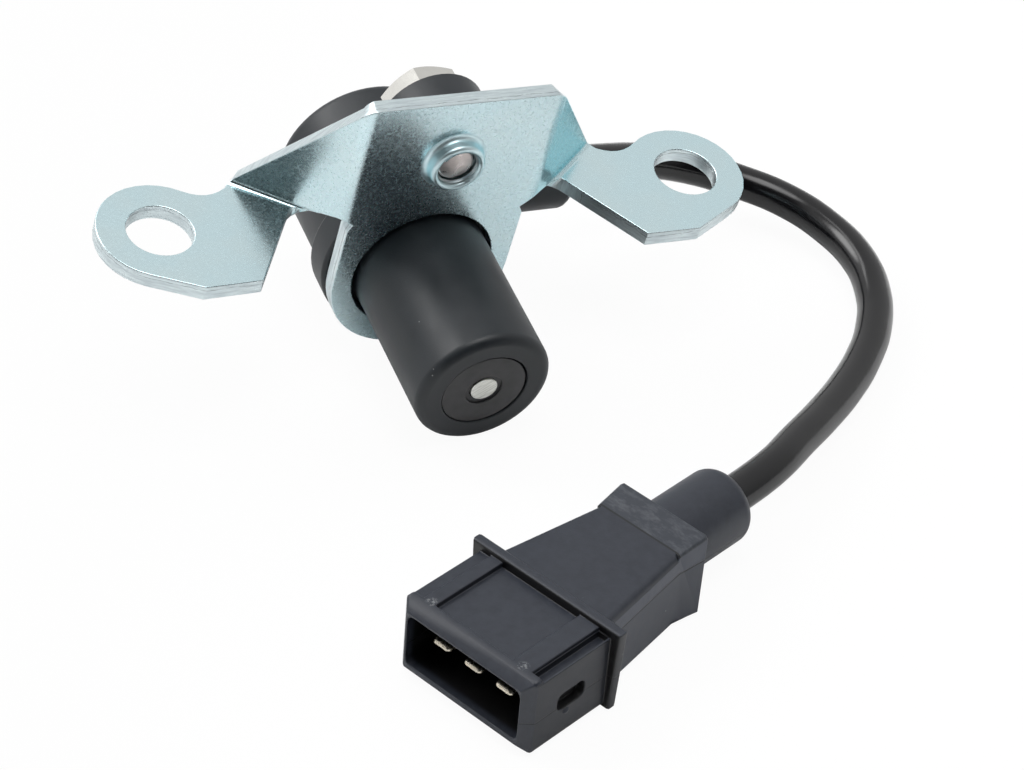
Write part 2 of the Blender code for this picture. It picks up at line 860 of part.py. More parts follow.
def make_cable():
    outlet_middle = Vector((0.0, 0.0, outlet_level))
    side = Vector((1.0, 0.0, 0.0))
    place = probe.matrix_world

    def in_outlet(reach):
        return place @ (outlet_middle + side * reach)

    neck_back = neck_front - neck_length

    def in_neck(depth):
        return connector.matrix_world @ Vector((neck_side, neck_level, depth))

    route = [Vector(point) * mm for point in cable_route]
    neck_run = [in_neck(neck_back - neck_straight), in_neck(neck_back)]
    run = smooth_route([in_outlet(outlet_reach), *route, *neck_run], cable_step)
    points = [in_outlet(cable_start), *run, in_neck(cable_end)]
    tube("cable", points, cable_radius, cable_black, 3)

    seal = turned_part(
        "cable_seal",
        (
            (cable_radius + gap, outlet_reach - seal_set_back),
            (seal_radius, outlet_reach - seal_set_back),
            (seal_radius, outlet_reach - seal_length),
            (cable_radius + gap, outlet_reach - seal_length),
        ),
        probe,
        seal_rubber,
        28,
        closed=True,
    )
    seal.location = outlet_middle
    seal.rotation_euler = (0.0, math.pi / 2, 0.0)

    tab_end = tab_front - tab_length - gap - core_radius / 2
    core_end = cable_start - gap
    for sign, label, colour in ((-1, "left", core_colours[0]), (1, "right", core_colours[1])):
        height = sign * core_offset
        start = Vector((sign * tab_side, 0.0, tab_end))
        dip = Vector((sign * tab_side + core_lean, height, outlet_level + core_swing))
        level = Vector((tab_side + core_swing, height, outlet_level))
        local = [start, dip, level, Vector((core_end, height, outlet_level))]
        wire = smooth_route([place @ p for p in local], core_step)
        tube(f"signal_core_{label}", wire, core_radius, colour, 1)


def make_connector():
    shell = box(
        "connector_housing",
        (-shell_half_width, shell_bottom, -shell_length - overlap),
        (shell_half_width, shell_top, 0.0),
    )
    bm = bmesh.new()
    bm.from_mesh(shell)
    front = [e for e in bm.edges if all(v.co.z > -mouth_bevel for v in e.verts)]
    bmesh.ops.bevel(bm, geom=front, offset=mouth_bevel, segments=1, profile=0.5, affect="EDGES")
    along = [e for e in bm.edges if abs(e.verts[0].co.z - e.verts[1].co.z) > shell_length / 2]
    bmesh.ops.bevel(bm, geom=along, offset=shell_round, segments=3, profile=0.5, affect="EDGES")
    bm.to_mesh(shell)
    bm.free()
    housing = add_part("connector_housing", shell, connector, slate)

    collar_back = shell_length + flat_collar_thickness
    collar = box(
        "connector_collar",
        (-flat_collar_half_width, 0.0, -collar_back),
        (flat_collar_half_width, flat_collar_top, -shell_length),
        flat_collar_corner,
    )
    bm = bmesh.new()
    bm.from_mesh(collar)
    rims = [e for e in bm.edges if abs(e.verts[0].co.z - e.verts[1].co.z) < gap]
    bmesh.ops.bevel(bm, geom=rims, offset=flat_collar_round, segments=2, profile=0.5, affect="EDGES")
    for vertex in bm.verts:
        if vertex.co.y < flat_collar_top / 2:
            vertex.co.x *= flat_collar_foot
    bm.to_mesh(collar)
    bm.free()
    shape(housing, add_tool("connector_collar", collar, connector), "UNION")

    front_section = (rear_front_half_width, rear_bottom, shell_top)
    back_section = (rear_back_half_width, rear_bottom, shell_top)
    start = shell_length + flat_collar_thickness / 2
    rear = tapered_block(
        "connector_rear",
        front_section,
        back_section,
        start,
        rear_length + flat_collar_thickness / 2,
        rear_bevel,
    )
    shape(housing, add_tool("connector_rear", rear, connector), "UNION")
    lip_start = collar_back + rear_length - overlap
    lip = tapered_block(
        "connector_lip",
        back_section,
        (lip_half_width, 0.0, lip_top),
        lip_start,
        lip_length + overlap,
        lip_bevel,
    )
    shape(housing, add_tool("connector_lip", lip, connector), "UNION")
    key = box(
        "connector_key",
        (-key_half_width, key_bottom, -key_back),
        (key_half_width, key_root, -key_front),
    )
    shape(housing, add_tool("connector_key", key, connector), "UNION")

    carrier_back = carrier_face + carrier_thickness
    mouth = box(
        "connector_mouth",
        (-mouth_half_width, mouth_floor, -carrier_back - gap),
        (mouth_half_width, mouth_ceiling, overrun),
        mouth_round,
    )
    shape(housing, add_tool("connector_mouth", mouth, connector))
    throat = (
        mouth_half_width - carrier_shoulder,
        mouth_floor + carrier_shoulder,
        mouth_ceiling - carrier_shoulder,
    )
    throat_back = (
        rear_back_half_width - rear_wall,
        rear_bottom + rear_wall,
        mouth_ceiling - carrier_shoulder,
    )
    hollow_start = carrier_back - overlap
    hollow_length = collar_back + rear_length - hollow_start
    hollow = tapered_block("connector_hollow", throat, throat_back, hollow_start, hollow_length)
    shape(housing, add_tool("connector_hollow", hollow, connector))
    neck_bore = rod(
        "connector_neck_bore",
        neck_spigot + gap,
        (neck_side, neck_level, -collar_back - rear_length + overrun),
        (neck_side, neck_level, neck_front - overrun),
        36,
    )
    shape(housing, add_tool("connector_neck_bore", neck_bore, connector))

    panel = box(
        "connector_panel",
        (panel_left, shell_top - panel_depth, -shell_length),
        (panel_right, shell_top + overrun, -panel_front),
    )
    shape(housing, add_tool("connector_panel", panel, connector))
    for sign, label in ((-1, "left"), (1, "right")):
        wall_out = sign * (shell_half_width + overrun)
        rail = sign * rail_outer
        step = box(
            f"connector_step_{label}",
            (min(rail, wall_out), shell_top - rail_step, -shell_length),
            (max(rail, wall_out), shell_top + overrun, -panel_front),
        )
        shape(housing, add_tool(f"connector_step_{label}", step, connector))
        wall_in = sign * (shell_half_width - window_depth)
        window = box(
            f"connector_window_{label}",
            (min(wall_in, wall_out), window_bottom, -window_back),
            (max(wall_in, wall_out), window_top, -window_front),
            window_round,
            0,
        )
        shape(housing, add_tool(f"connector_window_{label}", window, connector))


def make_contacts():
    carrier_back = carrier_face + carrier_thickness
    block = box(
        "contact_carrier",
        (-mouth_half_width + gap, mouth_floor + gap, -carrier_back),
        (mouth_half_width - gap, mouth_ceiling - gap, -carrier_face),
        mouth_round,
    )
    carrier = add_part("contact_carrier", block, connector, slate)
    blade_end = -blade_tip - blade_length
    barrel_end = blade_end - barrel_length
    for number in range(3):
        side = (number - 1) * blade_pitch
        slot_name = f"carrier_slot_{number + 1}"
        slot = box(
            slot_name,
            (
                side - blade_width / 2 - gap,
                blade_level - blade_thickness / 2 - gap,
                -carrier_back - overrun,
            ),
            (
                side + blade_width / 2 + gap,
                blade_level + blade_thickness / 2 + gap,
                -carrier_face + overrun,
            ),
        )
        shape(carrier, add_tool(slot_name, slot, connector))
        name = f"contact_blade_{number + 1}"
        blank = box(
            name,
            (side - blade_width / 2, blade_level - blade_thickness / 2, blade_end - overlap),
            (side + blade_width / 2, blade_level + blade_thickness / 2, -blade_tip),
        )
        bm = bmesh.new()
        bm.from_mesh(blank)
        sides = [e for e in bm.edges if abs(e.verts[0].co.y - e.verts[1].co.y) > blade_thickness / 2]
        corners = [e for e in sides if e.verts[0].co.z > -blade_tip - blade_bevel]
        bmesh.ops.bevel(
            bm,
            geom=corners,
            offset=blade_corner,
            segments=3,
            profile=0.5,
            affect="EDGES",
        )
        ends = [e for e in bm.edges if all(v.co.z > -blade_tip - blade_corner - gap for v in e.verts)]
        tip = [e for e in ends if abs(e.verts[0].co.y - e.verts[1].co.y) < gap]
        bmesh.ops.bevel(bm, geom=tip, offset=blade_bevel, segments=1, profile=0.5, affect="EDGES")
        bm.to_mesh(blank)
        bm.free()
        blade = add_part(name, blank, connector, brass)
        barrel = rod(
            f"contact_barrel_{number + 1}",
            barrel_radius,
            (side, blade_level, blade_end),
            (side, blade_level, barrel_end),
            16,
        )
        shape(blade, add_tool(f"contact_barrel_{number + 1}", barrel, connector), "UNION")

        lead_side = neck_side + (number - 1) * lead_spread
        local = [
            Vector((side, blade_level, barrel_end - gap)),
            Vector((side * lead_gather, blade_level, barrel_end - lead_straight)),
            Vector((lead_side, neck_level, cable_end + gap + lead_straight)),
            Vector((lead_side, neck_level, cable_end + gap)),
        ]
        wire = smooth_route([connector.matrix_world @ p for p in local], lead_step)
        tube(f"connector_core_{number + 1}", wire, lead_radius, core_colours[number], 1)


def make_neck():
    neck_back = neck_front - neck_length
    round_edge = arc((neck_radius - neck_round, neck_back + neck_round), neck_round, 0.0, -90.0, 5)
    sleeve = turned_part(
        "neck_sleeve",
        (
            (cable_radius + gap, neck_front + neck_spigot_length),
            (neck_spigot, neck_front + neck_spigot_length),
            (neck_spigot, neck_front),
            (neck_radius, neck_front),
            *round_edge,
            (cable_radius + gap, neck_back),
        ),
        connector,
        slate,
        40,
        closed=True,
    )
    sleeve.location = (neck_side, neck_level, 0.0)


make_bracket()
make_housing()
make_fastening()
make_coil()
bpy.context.view_layer.update()
make_cable()
make_connector()
make_contacts()
make_neck()
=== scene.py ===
# Inductive rotation sensor on its folded bracket, dressed for a studio picture. Metres, +Z up.
import math

import bmesh
import bpy
from mathutils import Matrix, Vector
from mathutils.bvhtree import BVHTree


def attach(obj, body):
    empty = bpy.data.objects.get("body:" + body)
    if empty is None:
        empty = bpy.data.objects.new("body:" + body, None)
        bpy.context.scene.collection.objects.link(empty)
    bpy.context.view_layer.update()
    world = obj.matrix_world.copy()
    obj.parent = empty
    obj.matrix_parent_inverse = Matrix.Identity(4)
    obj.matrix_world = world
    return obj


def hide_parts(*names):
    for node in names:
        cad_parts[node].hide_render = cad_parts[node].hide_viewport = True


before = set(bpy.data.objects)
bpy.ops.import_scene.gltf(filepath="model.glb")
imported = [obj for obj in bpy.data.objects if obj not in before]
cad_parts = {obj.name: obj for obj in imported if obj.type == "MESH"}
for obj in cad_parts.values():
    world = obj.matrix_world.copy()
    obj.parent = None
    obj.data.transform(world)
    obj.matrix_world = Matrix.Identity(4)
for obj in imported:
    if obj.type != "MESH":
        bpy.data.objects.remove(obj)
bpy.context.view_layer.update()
mm = 0.001

# How the two halves lie, as the solids have it: headings and tilts in radians, places in metres.
lie = {
    "probeHeading": math.radians(26.7),
    "probeRoll": math.radians(5.26),
    "probePlace": (-0.71 * mm, -3.39 * mm),
    "connectorHeading": math.radians(-40.27),
    "connectorPlace": (9.71 * mm, -73.99 * mm),
    "noseRadius": 9.25 * mm,
    "noseLength": 22.35 * mm,
    "noseRound": 1.3 * mm,
    "lobeRadius": 12.55 * mm,
    "lobeDrop": 0.8 * mm,
}


def probeMatrix():
    reach = lie["lobeDrop"] + lie["lobeRadius"]
    run = lie["noseLength"] - lie["noseRound"]
    rise = reach - (lie["noseRadius"] - lie["noseRound"])
    pitch = math.atan2(rise, run) - math.asin(lie["noseRound"] / math.hypot(run, rise))
    turn = Matrix.Rotation(lie["probeHeading"], 4, "Z") @ Matrix.Rotation(pitch, 4, "X")
    turn = turn @ Matrix.Rotation(lie["probeRoll"], 4, "Y") @ Matrix.Rotation(math.pi / 2, 4, "X")
    lift = lie["lobeRadius"] * math.hypot(turn[2][0], turn[2][1]) + lie["lobeDrop"] * turn[2][1]
    return Matrix.Translation((*lie["probePlace"], lift)) @ turn


def connectorMatrix():
    turn = Matrix.Rotation(lie["connectorHeading"], 4, "Z") @ Matrix.Rotation(math.pi / 2, 4, "X")
    return Matrix.Translation((*lie["connectorPlace"], 0.0)) @ turn


probe = probeMatrix()
connector = connectorMatrix()

# camera
shot = {
    "place": (12.52 * mm, -333.93 * mm, 244.6 * mm),
    "elevation": 0.6461,
    "roll": 0.0895,
    "lens": 107.52,
    "sensor": 36.0,
    "near": 0.01,
    "far": 10.0,
}


def makeCamera():
    camera = bpy.data.objects.new("camera", bpy.data.cameras.new("camera"))
    bpy.context.collection.objects.link(camera)
    camera.data.sensor_width = shot["sensor"]
    camera.data.lens = shot["lens"]
    camera.data.clip_start = shot["near"]
    camera.data.clip_end = shot["far"]
    aim = Matrix.Rotation(math.pi / 2 - shot["elevation"], 4, "X")
    aim = aim @ Matrix.Rotation(shot["roll"], 4, "Z")
    camera.matrix_world = Matrix.Translation(shot["place"]) @ aim
    bpy.context.scene.camera = camera


# material tools
# Bump heights in metres.
relief = {"fine": 0.00002, "grain": 0.00003, "ripple": 0.00004, "parting": 0.00006, "swell": 0.0001}
# The stretch of a noise over which a shade or a roughness changes.
sweep = {"even": (0.3, 0.7), "shade": (0.35, 0.7), "mould": (0.3, 0.75)}


def startMaterial(name, metallic=0.0):
    material = bpy.data.materials.new(name)
    material.use_nodes = True
    tree = material.node_tree
    shader = tree.nodes["Principled BSDF"]
    shader.inputs["Metallic"].default_value = metallic
    place = tree.nodes.new("ShaderNodeTexCoord")
    return material, tree, shader, place.outputs["Object"]


def localPlace(tree, vector, matrix):
    mapping = tree.nodes.new("ShaderNodeMapping")
    mapping.vector_type = "TEXTURE"
    mapping.inputs["Location"].default_value = matrix.translation
    mapping.inputs["Rotation"].default_value = matrix.to_euler()
    tree.links.new(vector, mapping.inputs["Vector"])
    return mapping.outputs["Vector"]


def stretched(tree, vector, scale):
    mapping = tree.nodes.new("ShaderNodeMapping")
    mapping.inputs["Scale"].default_value = scale
    tree.links.new(vector, mapping.inputs["Vector"])
    return mapping.outputs["Vector"]


def noise(tree, vector, scale, detail=4.0, roughness=0.55):
    texture = tree.nodes.new("ShaderNodeTexNoise")
    texture.inputs["Scale"].default_value = scale
    texture.inputs["Detail"].default_value = detail
    texture.inputs["Roughness"].default_value = roughness
    tree.links.new(vector, texture.inputs["Vector"])
    return texture.outputs["Fac"]


def cells(tree, vector, scale):
    texture = tree.nodes.new("ShaderNodeTexVoronoi")
    texture.inputs["Scale"].default_value = scale
    tree.links.new(vector, texture.inputs["Vector"])
    return texture.outputs["Distance"]


def spread(tree, value, low, high, start=0.0, end=1.0):
    span = tree.nodes.new("ShaderNodeMapRange")
    span.inputs["From Min"].default_value = low
    span.inputs["From Max"].default_value = high
    span.inputs["To Min"].default_value = start
    span.inputs["To Max"].default_value = end
    tree.links.new(value, span.inputs["Value"])
    return span.outputs["Result"]


def roughen(tree, shader, value, reach, ends):
    rough = spread(tree, value, *reach, *ends)
    tree.links.new(rough, shader.inputs["Roughness"])


def combine(tree, operation, first, second):
    node = tree.nodes.new("ShaderNodeMath")
    node.operation = operation
    for socket, value in zip(node.inputs, (first, second)):
        if isinstance(value, (int, float)):
            socket.default_value = value
        else:
            tree.links.new(value, socket)
    return node.outputs["Value"]


def blendColours(tree, factor, first, second):
    mix = tree.nodes.new("ShaderNodeMix")
    mix.data_type = "RGBA"
    tree.links.new(factor, mix.inputs["Factor"])
    for key, colour in (("A", first), ("B", second)):
        socket = [s for s in mix.inputs if s.name == key and s.type == "RGBA"][0]
        if isinstance(colour, tuple):
            socket.default_value = (*colour, 1.0)
        else:
            tree.links.new(colour, socket)
    return [s for s in mix.outputs if s.type == "RGBA"][0]


def addBump(tree, shader, height, strength, distance, under=None):
    bump = tree.nodes.new("ShaderNodeBump")
    bump.inputs["Strength"].default_value = strength
    bump.inputs["Distance"].default_value = distance
    tree.links.new(height, bump.inputs["Height"])
    if under is not None:
        tree.links.new(under, bump.inputs["Normal"])
    tree.links.new(bump.outputs["Normal"], shader.inputs["Normal"])
    return bump.outputs["Normal"]


def addDust(tree, place, colour, look):
    # Pale specks in scattered patches.
    specks = spread(tree, cells(tree, place, look["dustScale"]), *look["dustReach"])
    patches = spread(tree, noise(tree, place, look["patchScale"], 1.0), *look["patchReach"])
    return blendColours(tree, combine(tree, "MULTIPLY", specks, patches), colour, look["dust"])


# finishes
zincLook = {
    "pale": (0.69, 0.87, 0.915),
    "tint": (0.71, 0.865, 0.895),
    "grazing": (0.58, 0.86, 0.90),
    "pit": (0.22, 0.27, 0.30),
    "roughness": (0.20, 0.32),
    "collarRoughness": (0.36, 0.50),
    "cloudScale": 160.0,
    "cloudReach": (0.42, 0.72),
    "grainScale": 2600.0,
    "grain": 0.035,
    "grainReach": (0.35, 0.7),
    "rippleScale": 420.0,
    "ripple": 0.25,
    "pitScale": 260.0,
    "pitReach": (0.010, 0.006),
}


def makeZinc(name, roughness):
    material, tree, shader, place = startMaterial(name, 1.0)
    shader.inputs["Specular Tint"].default_value = (*zincLook["grazing"], 1.0)
    clouds = noise(tree, place, zincLook["cloudScale"], 3.0)
    tint = spread(tree, clouds, *zincLook["cloudReach"])
    colour = blendColours(tree, tint, zincLook["pale"], zincLook["tint"])
    pits = spread(tree, cells(tree, place, zincLook["pitScale"]), *zincLook["pitReach"])
    colour = blendColours(tree, pits, colour, zincLook["pit"])
    tree.links.new(colour, shader.inputs["Base Color"])
    grain = noise(tree, place, zincLook["grainScale"], 3.0, 0.6)
    roughen(tree, shader, grain, zincLook["grainReach"], roughness)
    waves = noise(tree, place, zincLook["rippleScale"], 2.0)
    ripple = addBump(tree, shader, waves, zincLook["ripple"], relief["ripple"])
    addBump(tree, shader, grain, zincLook["grain"], relief["fine"], ripple)
    return material


# The punched edge of the sheet: fine lines along it, and one dark line where the cut broke away.
shearLook = {
    "bright": (0.76, 0.86, 0.88),
    "dull": (0.58, 0.66, 0.69),
    "break": (0.16, 0.19, 0.21),
    "roughness": (0.42, 0.26),
    "earStart": 21.5 * mm,
    "earFace": 10.09 * mm,
    "earSlope": (0.0147, -1.0, -0.014),
    "alongShare": 0.1,
    "lineScale": 3000.0,
    "lineReach": (0.36, 0.62),
    "lineDepth": 0.35,
    "breakDepth": 0.6 * mm,
    "breakHalf": 0.07 * mm,
    "breakShare": 0.75,
    "breakCore": 0.3,
    "waverScale": 350.0,
    "waver": 0.7 * mm,
    "gapScale": 800.0,
    "gapReach": (0.36, 0.56),
}


def makeSheared():
    material, tree, shader, place = startMaterial("shearedZinc", 1.0)
    local = localPlace(tree, place, probe)
    split = tree.nodes.new("ShaderNodeSeparateXYZ")
    tree.links.new(local, split.inputs["Vector"])
    side = combine(tree, "ABSOLUTE", split.outputs["X"], 0.0)
    # how deep below the sheet's outer face: along z in the plate, nearly along y in the ears
    slopeX, slopeY, slopeZ = shearLook["earSlope"]
    depth = combine(tree, "ADD", combine(tree, "MULTIPLY", side, slopeX), shearLook["earFace"])
    depth = combine(tree, "ADD", depth, combine(tree, "MULTIPLY", split.outputs["Y"], slopeY))
    depth = combine(tree, "ADD", depth, combine(tree, "MULTIPLY", split.outputs["Z"], slopeZ))
    plateDepth = combine(tree, "MULTIPLY", split.outputs["Z"], -1.0)
    onEar = combine(tree, "GREATER_THAN", side, shearLook["earStart"])
    onPlate = combine(tree, "SUBTRACT", 1.0, onEar)
    depth = combine(tree, "MULTIPLY", depth, onEar)
    depth = combine(tree, "ADD", depth, combine(tree, "MULTIPLY", plateDepth, onPlate))
    along = combine(tree, "MULTIPLY", split.outputs["X"], shearLook["alongShare"])
    across = combine(tree, "ADD", split.outputs["Y"], split.outputs["Z"])
    across = combine(tree, "MULTIPLY", across, shearLook["alongShare"])
    drawn = tree.nodes.new("ShaderNodeCombineXYZ")
    for value, socket in zip((along, across, depth), drawn.inputs):
        tree.links.new(value, socket)
    lines = noise(tree, drawn.outputs["Vector"], shearLook["lineScale"], 3.0, 0.6)
    waver = combine(tree, "SUBTRACT", noise(tree, place, shearLook["waverScale"], 3.0), 0.5)
    waver = combine(tree, "MULTIPLY", waver, shearLook["waver"])
    off = combine(tree, "SUBTRACT", combine(tree, "ADD", depth, waver), shearLook["breakDepth"])
    off = combine(tree, "ABSOLUTE", off, 0.0)
    half = shearLook["breakHalf"]
    core = half * shearLook["breakCore"]
    broken = spread(tree, off, half, core, 0.0, shearLook["breakShare"])
    gaps = spread(tree, noise(tree, place, shearLook["gapScale"], 3.0), *shearLook["gapReach"])
    broken = combine(tree, "MULTIPLY", broken, gaps)
    shine = spread(tree, lines, *shearLook["lineReach"])
    colour = blendColours(tree, shine, shearLook["dull"], shearLook["bright"])
    colour = blendColours(tree, broken, colour, shearLook["break"])
    tree.links.new(colour, shader.inputs["Base Color"])
    roughen(tree, shader, lines, sweep["even"], shearLook["roughness"])
    height = combine(tree, "SUBTRACT", lines, broken)
    addBump(tree, shader, height, shearLook["lineDepth"], relief["ripple"])
    return material


mouldLook = {
    "dark": (0.011, 0.015, 0.019),
    "light": (0.020, 0.024, 0.029),
    "dust": (0.34, 0.34, 0.34),
    "roughness": (0.40, 0.52),
    "cloudScale": 220.0,
    "dustScale": 300.0,
    "dustReach": (0.045, 0.03),
    "patchScale": 90.0,
    "patchReach": (0.56, 0.6),
    "waveScale": 260.0,
    "wave": 0.12,
    "grainScale": 5200.0,
    "grain": 0.35,
}


def makeMoulded():
    material, tree, shader, place = startMaterial("mouldedBlack")
    clouds = noise(tree, place, mouldLook["cloudScale"], 4.0)
    shade = spread(tree, clouds, *sweep["shade"])
    colour = blendColours(tree, shade, mouldLook["dark"], mouldLook["light"])
    colour = addDust(tree, place, colour, mouldLook)
    tree.links.new(colour, shader.inputs["Base Color"])
    roughen(tree, shader, clouds, sweep["mould"], mouldLook["roughness"])
    swell = noise(tree, place, mouldLook["waveScale"], 1.0)
    wave = addBump(tree, shader, swell, mouldLook["wave"], relief["swell"])
    grain = noise(tree, place, mouldLook["grainScale"], 2.0)
    addBump(tree, shader, grain, mouldLook["grain"], relief["grain"], wave)
    return material


# Lengths here are in the connector's own frame: x across, y up, z out of the mouth.
slateLook = {
    "dark": (0.019, 0.023, 0.034),
    "light": (0.028, 0.033, 0.046),
    "scuff": (0.17, 0.18, 0.20),
    "chip": (0.20, 0.21, 0.22),
    "dust": (0.30, 0.31, 0.33),
    # painted shade in the mouth: its colour, and where it starts and where it is full
    "deep": (0.0025, 0.0025, 0.003),
    "deepStart": -0.8 * mm,
    "deepEnd": -1.4 * mm,
    # painted light on the rear sides above the parting line
    "upperPaintedLight": 1.25,
    "line": (0.008, 0.009, 0.011),
    "roughness": (0.36, 0.48),
    "cloudScale": 900.0,
    "partingHalf": 0.09 * mm,
    "partingCore": 0.5,
    "partingDepth": 0.8,
    "draftedShare": 1.6,  # how much wider the parting line is on the rear sides
    "band": (0.040, 0.047, 0.060),
    "bandShare": 0.45,
    "bandFront": -30.2 * mm,
    "bandBack": -34.9 * mm,
    "bandLevel": 11.0 * mm,
    "crease": (0.18 * mm, 0.08 * mm),
    "rubStretch": (0.5, 1.0, 1.2),
    "rubReach": (0.46, 0.72),
    "rubShare": 0.4,
    "dustScale": 330.0,
    "dustReach": (0.035, 0.022),
    "patchScale": 110.0,
    "patchReach": (0.57, 0.6),
    "chips": ((-7.4 * mm, 11.2 * mm, -2.3 * mm), (7.2 * mm, 11.2 * mm, -2.2 * mm)),
    "chipReach": 0.9 * mm,
    "chipCore": 0.5,
    "crumbScale": 3400.0,
    "crumbReach": (0.5, 0.58),
    "waveScale": 300.0,
    "wave": 0.1,
    "grainScale": 5200.0,
    "grain": 0.35,
}


def distanceTo(tree, vector, point):
    away = tree.nodes.new("ShaderNodeVectorMath")
    away.operation = "DISTANCE"
    away.inputs[1].default_value = point
    tree.links.new(vector, away.inputs[0])
    return away.outputs["Value"]


def addBand(tree, local, split, colour):
    # The raised band behind, paler and rubbed, with a crease along its front.
    drawn = stretched(tree, local, slateLook["rubStretch"])
    rub = noise(tree, drawn, slateLook["cloudScale"], 5.0, 0.7)
    onTop = combine(tree, "GREATER_THAN", split.outputs["Y"], slateLook["bandLevel"])
    onBand = combine(tree, "LESS_THAN", split.outputs["Z"], slateLook["bandFront"])
    onBand = combine(tree, "MULTIPLY", onBand, onTop)
    ahead = combine(tree, "GREATER_THAN", split.outputs["Z"], slateLook["bandBack"])
    onBand = combine(tree, "MULTIPLY", onBand, ahead)
    paleness = combine(tree, "MULTIPLY", onBand, slateLook["bandShare"])
    colour = blendColours(tree, paleness, colour, slateLook["band"])
    rubbed = spread(tree, rub, *slateLook["rubReach"], 0.0, slateLook["rubShare"])
    rubbed = combine(tree, "MULTIPLY", rubbed, onBand)
    colour = blendColours(tree, rubbed, colour, slateLook["scuff"])
    crease = combine(tree, "SUBTRACT", split.outputs["Z"], slateLook["bandFront"])
    crease = spread(tree, combine(tree, "ABSOLUTE", crease, 0.0), *slateLook["crease"])
    return blendColours(tree, combine(tree, "MULTIPLY", crease, onTop), colour, slateLook["line"])


def addWear(tree, place, local, colour):
    # Dust, and the crumbled spots at the front ends of the rails.
    colour = addDust(tree, place, colour, slateLook)
    crumble = noise(tree, place, slateLook["crumbScale"], 4.0, 0.7)
    reach = slateLook["chipReach"]
    core = reach * slateLook["chipCore"]
    for spot in slateLook["chips"]:
        near = spread(tree, distanceTo(tree, local, spot), reach, core)
        chipped = combine(tree, "MULTIPLY", near, spread(tree, crumble, *slateLook["crumbReach"]))
        colour = blendColours(tree, chipped, colour, slateLook["chip"])
    return colour


def makeSlate(name, partingLevel, paintedLightShare=1.0, shadedWithin=False, draftedAndLit=False):
    material, tree, shader, place = startMaterial(name)
    local = localPlace(tree, place, connector)
    split = tree.nodes.new("ShaderNodeSeparateXYZ")
    tree.links.new(local, split.inputs["Vector"])
    clouds = noise(tree, place, slateLook["cloudScale"], 5.0, 0.65)
    # the slate's colours scaled: above 1 is painted light, below 1 is painted shade
    dark, light = (tuple(paintedLightShare * value for value in slateLook[key]) for key in ("dark", "light"))
    colour = blendColours(tree, spread(tree, clouds, *sweep["shade"]), dark, light)
    colour = addBand(tree, local, split, colour)
    colour = addWear(tree, place, local, colour)
    off = combine(tree, "SUBTRACT", split.outputs["Y"], partingLevel)
    off = combine(tree, "ABSOLUTE", off, 0.0)
    half = slateLook["partingHalf"] * (slateLook["draftedShare"] if draftedAndLit else 1.0)
    line = spread(tree, off, half * slateLook["partingCore"], half)
    if draftedAndLit:  # painted light: above the parting line the colour is lighter, standing in for a wall that leans back
        litAbove = combine(tree, "GREATER_THAN", split.outputs["Y"], partingLevel)
        litColour = tuple(slateLook["upperPaintedLight"] * value for value in light)
        colour = blendColours(tree, litAbove, colour, litColour)
    colour = blendColours(tree, line, slateLook["line"], colour)
    if shadedWithin:  # painted shade: the mouth's walls, darker the deeper they lie
        deeper = spread(tree, split.outputs["Z"], slateLook["deepStart"], slateLook["deepEnd"])
        colour = blendColours(tree, deeper, colour, slateLook["deep"])
    tree.links.new(colour, shader.inputs["Base Color"])
    roughen(tree, shader, clouds, sweep["mould"], slateLook["roughness"])
    wave = addBump(tree, shader, line, slateLook["partingDepth"], relief["parting"])
    swell = noise(tree, place, slateLook["waveScale"], 1.0)
    wave = addBump(tree, shader, swell, slateLook["wave"], relief["swell"], wave)
    grain = noise(tree, place, slateLook["grainScale"], 2.0)
    addBump(tree, shader, grain, slateLook["grain"], relief["grain"], wave)
    return material


cableLook = {
    "dark": (0.003, 0.003, 0.004),
    "light": (0.006, 0.006, 0.007),
    "roughness": (0.13, 0.22),
    "cloudScale": 400.0,
    "grainScale": 1500.0,
    "grain": 0.2,
}


def makeCableJacket():
    material, tree, shader, place = startMaterial("cableJacket")
    clouds = noise(tree, place, cableLook["cloudScale"], 3.0)
    colour = blendColours(tree, clouds, cableLook["dark"], cableLook["light"])
    tree.links.new(colour, shader.inputs["Base Color"])
    roughen(tree, shader, clouds, sweep["even"], cableLook["roughness"])
    grain = noise(tree, place, cableLook["grainScale"], 2.0)
    addBump(tree, shader, grain, cableLook["grain"], relief["grain"])
    return material


def makeMetal(name, base, shade, roughness, scale=900.0, strength=0.15):
    material, tree, shader, place = startMaterial(name, 1.0)
    clouds = noise(tree, place, scale, 4.0, 0.6)
    tree.links.new(blendColours(tree, clouds, base, shade), shader.inputs["Base Color"])
    roughen(tree, shader, clouds, sweep["even"], roughness)
    addBump(tree, shader, noise(tree, place, scale * 4.0, 2.0), strength, relief["fine"])
    return material


# The pin's ground face keeps the marks of the stone, straight across it.
pinLook = {
    "bright": (0.86, 0.87, 0.82),
    "mark": (0.56, 0.56, 0.52),
    "markReach": (0.36, 0.6),
    "markScale": 5200.0,
    "markStretch": (0.08, 1.0, 1.0),
    "markDepth": 0.4,
    "roughness": (0.3, 0.45),
    "lean": math.radians(35.0),
}


def makePin():
    material, tree, shader, place = startMaterial("groundSteel", 1.0)
    local = localPlace(tree, place, probe @ Matrix.Rotation(pinLook["lean"], 4, "Z"))
    drawn = stretched(tree, local, pinLook["markStretch"])
    marks = noise(tree, drawn, pinLook["markScale"], 3.0, 0.7)
    shine = spread(tree, marks, *pinLook["markReach"])
    colour = blendColours(tree, shine, pinLook["mark"], pinLook["bright"])
    tree.links.new(colour, shader.inputs["Base Color"])
    roughen(tree, shader, marks, sweep["even"], pinLook["roughness"])
    addBump(tree, shader, marks, pinLook["markDepth"], relief["grain"])
    return material


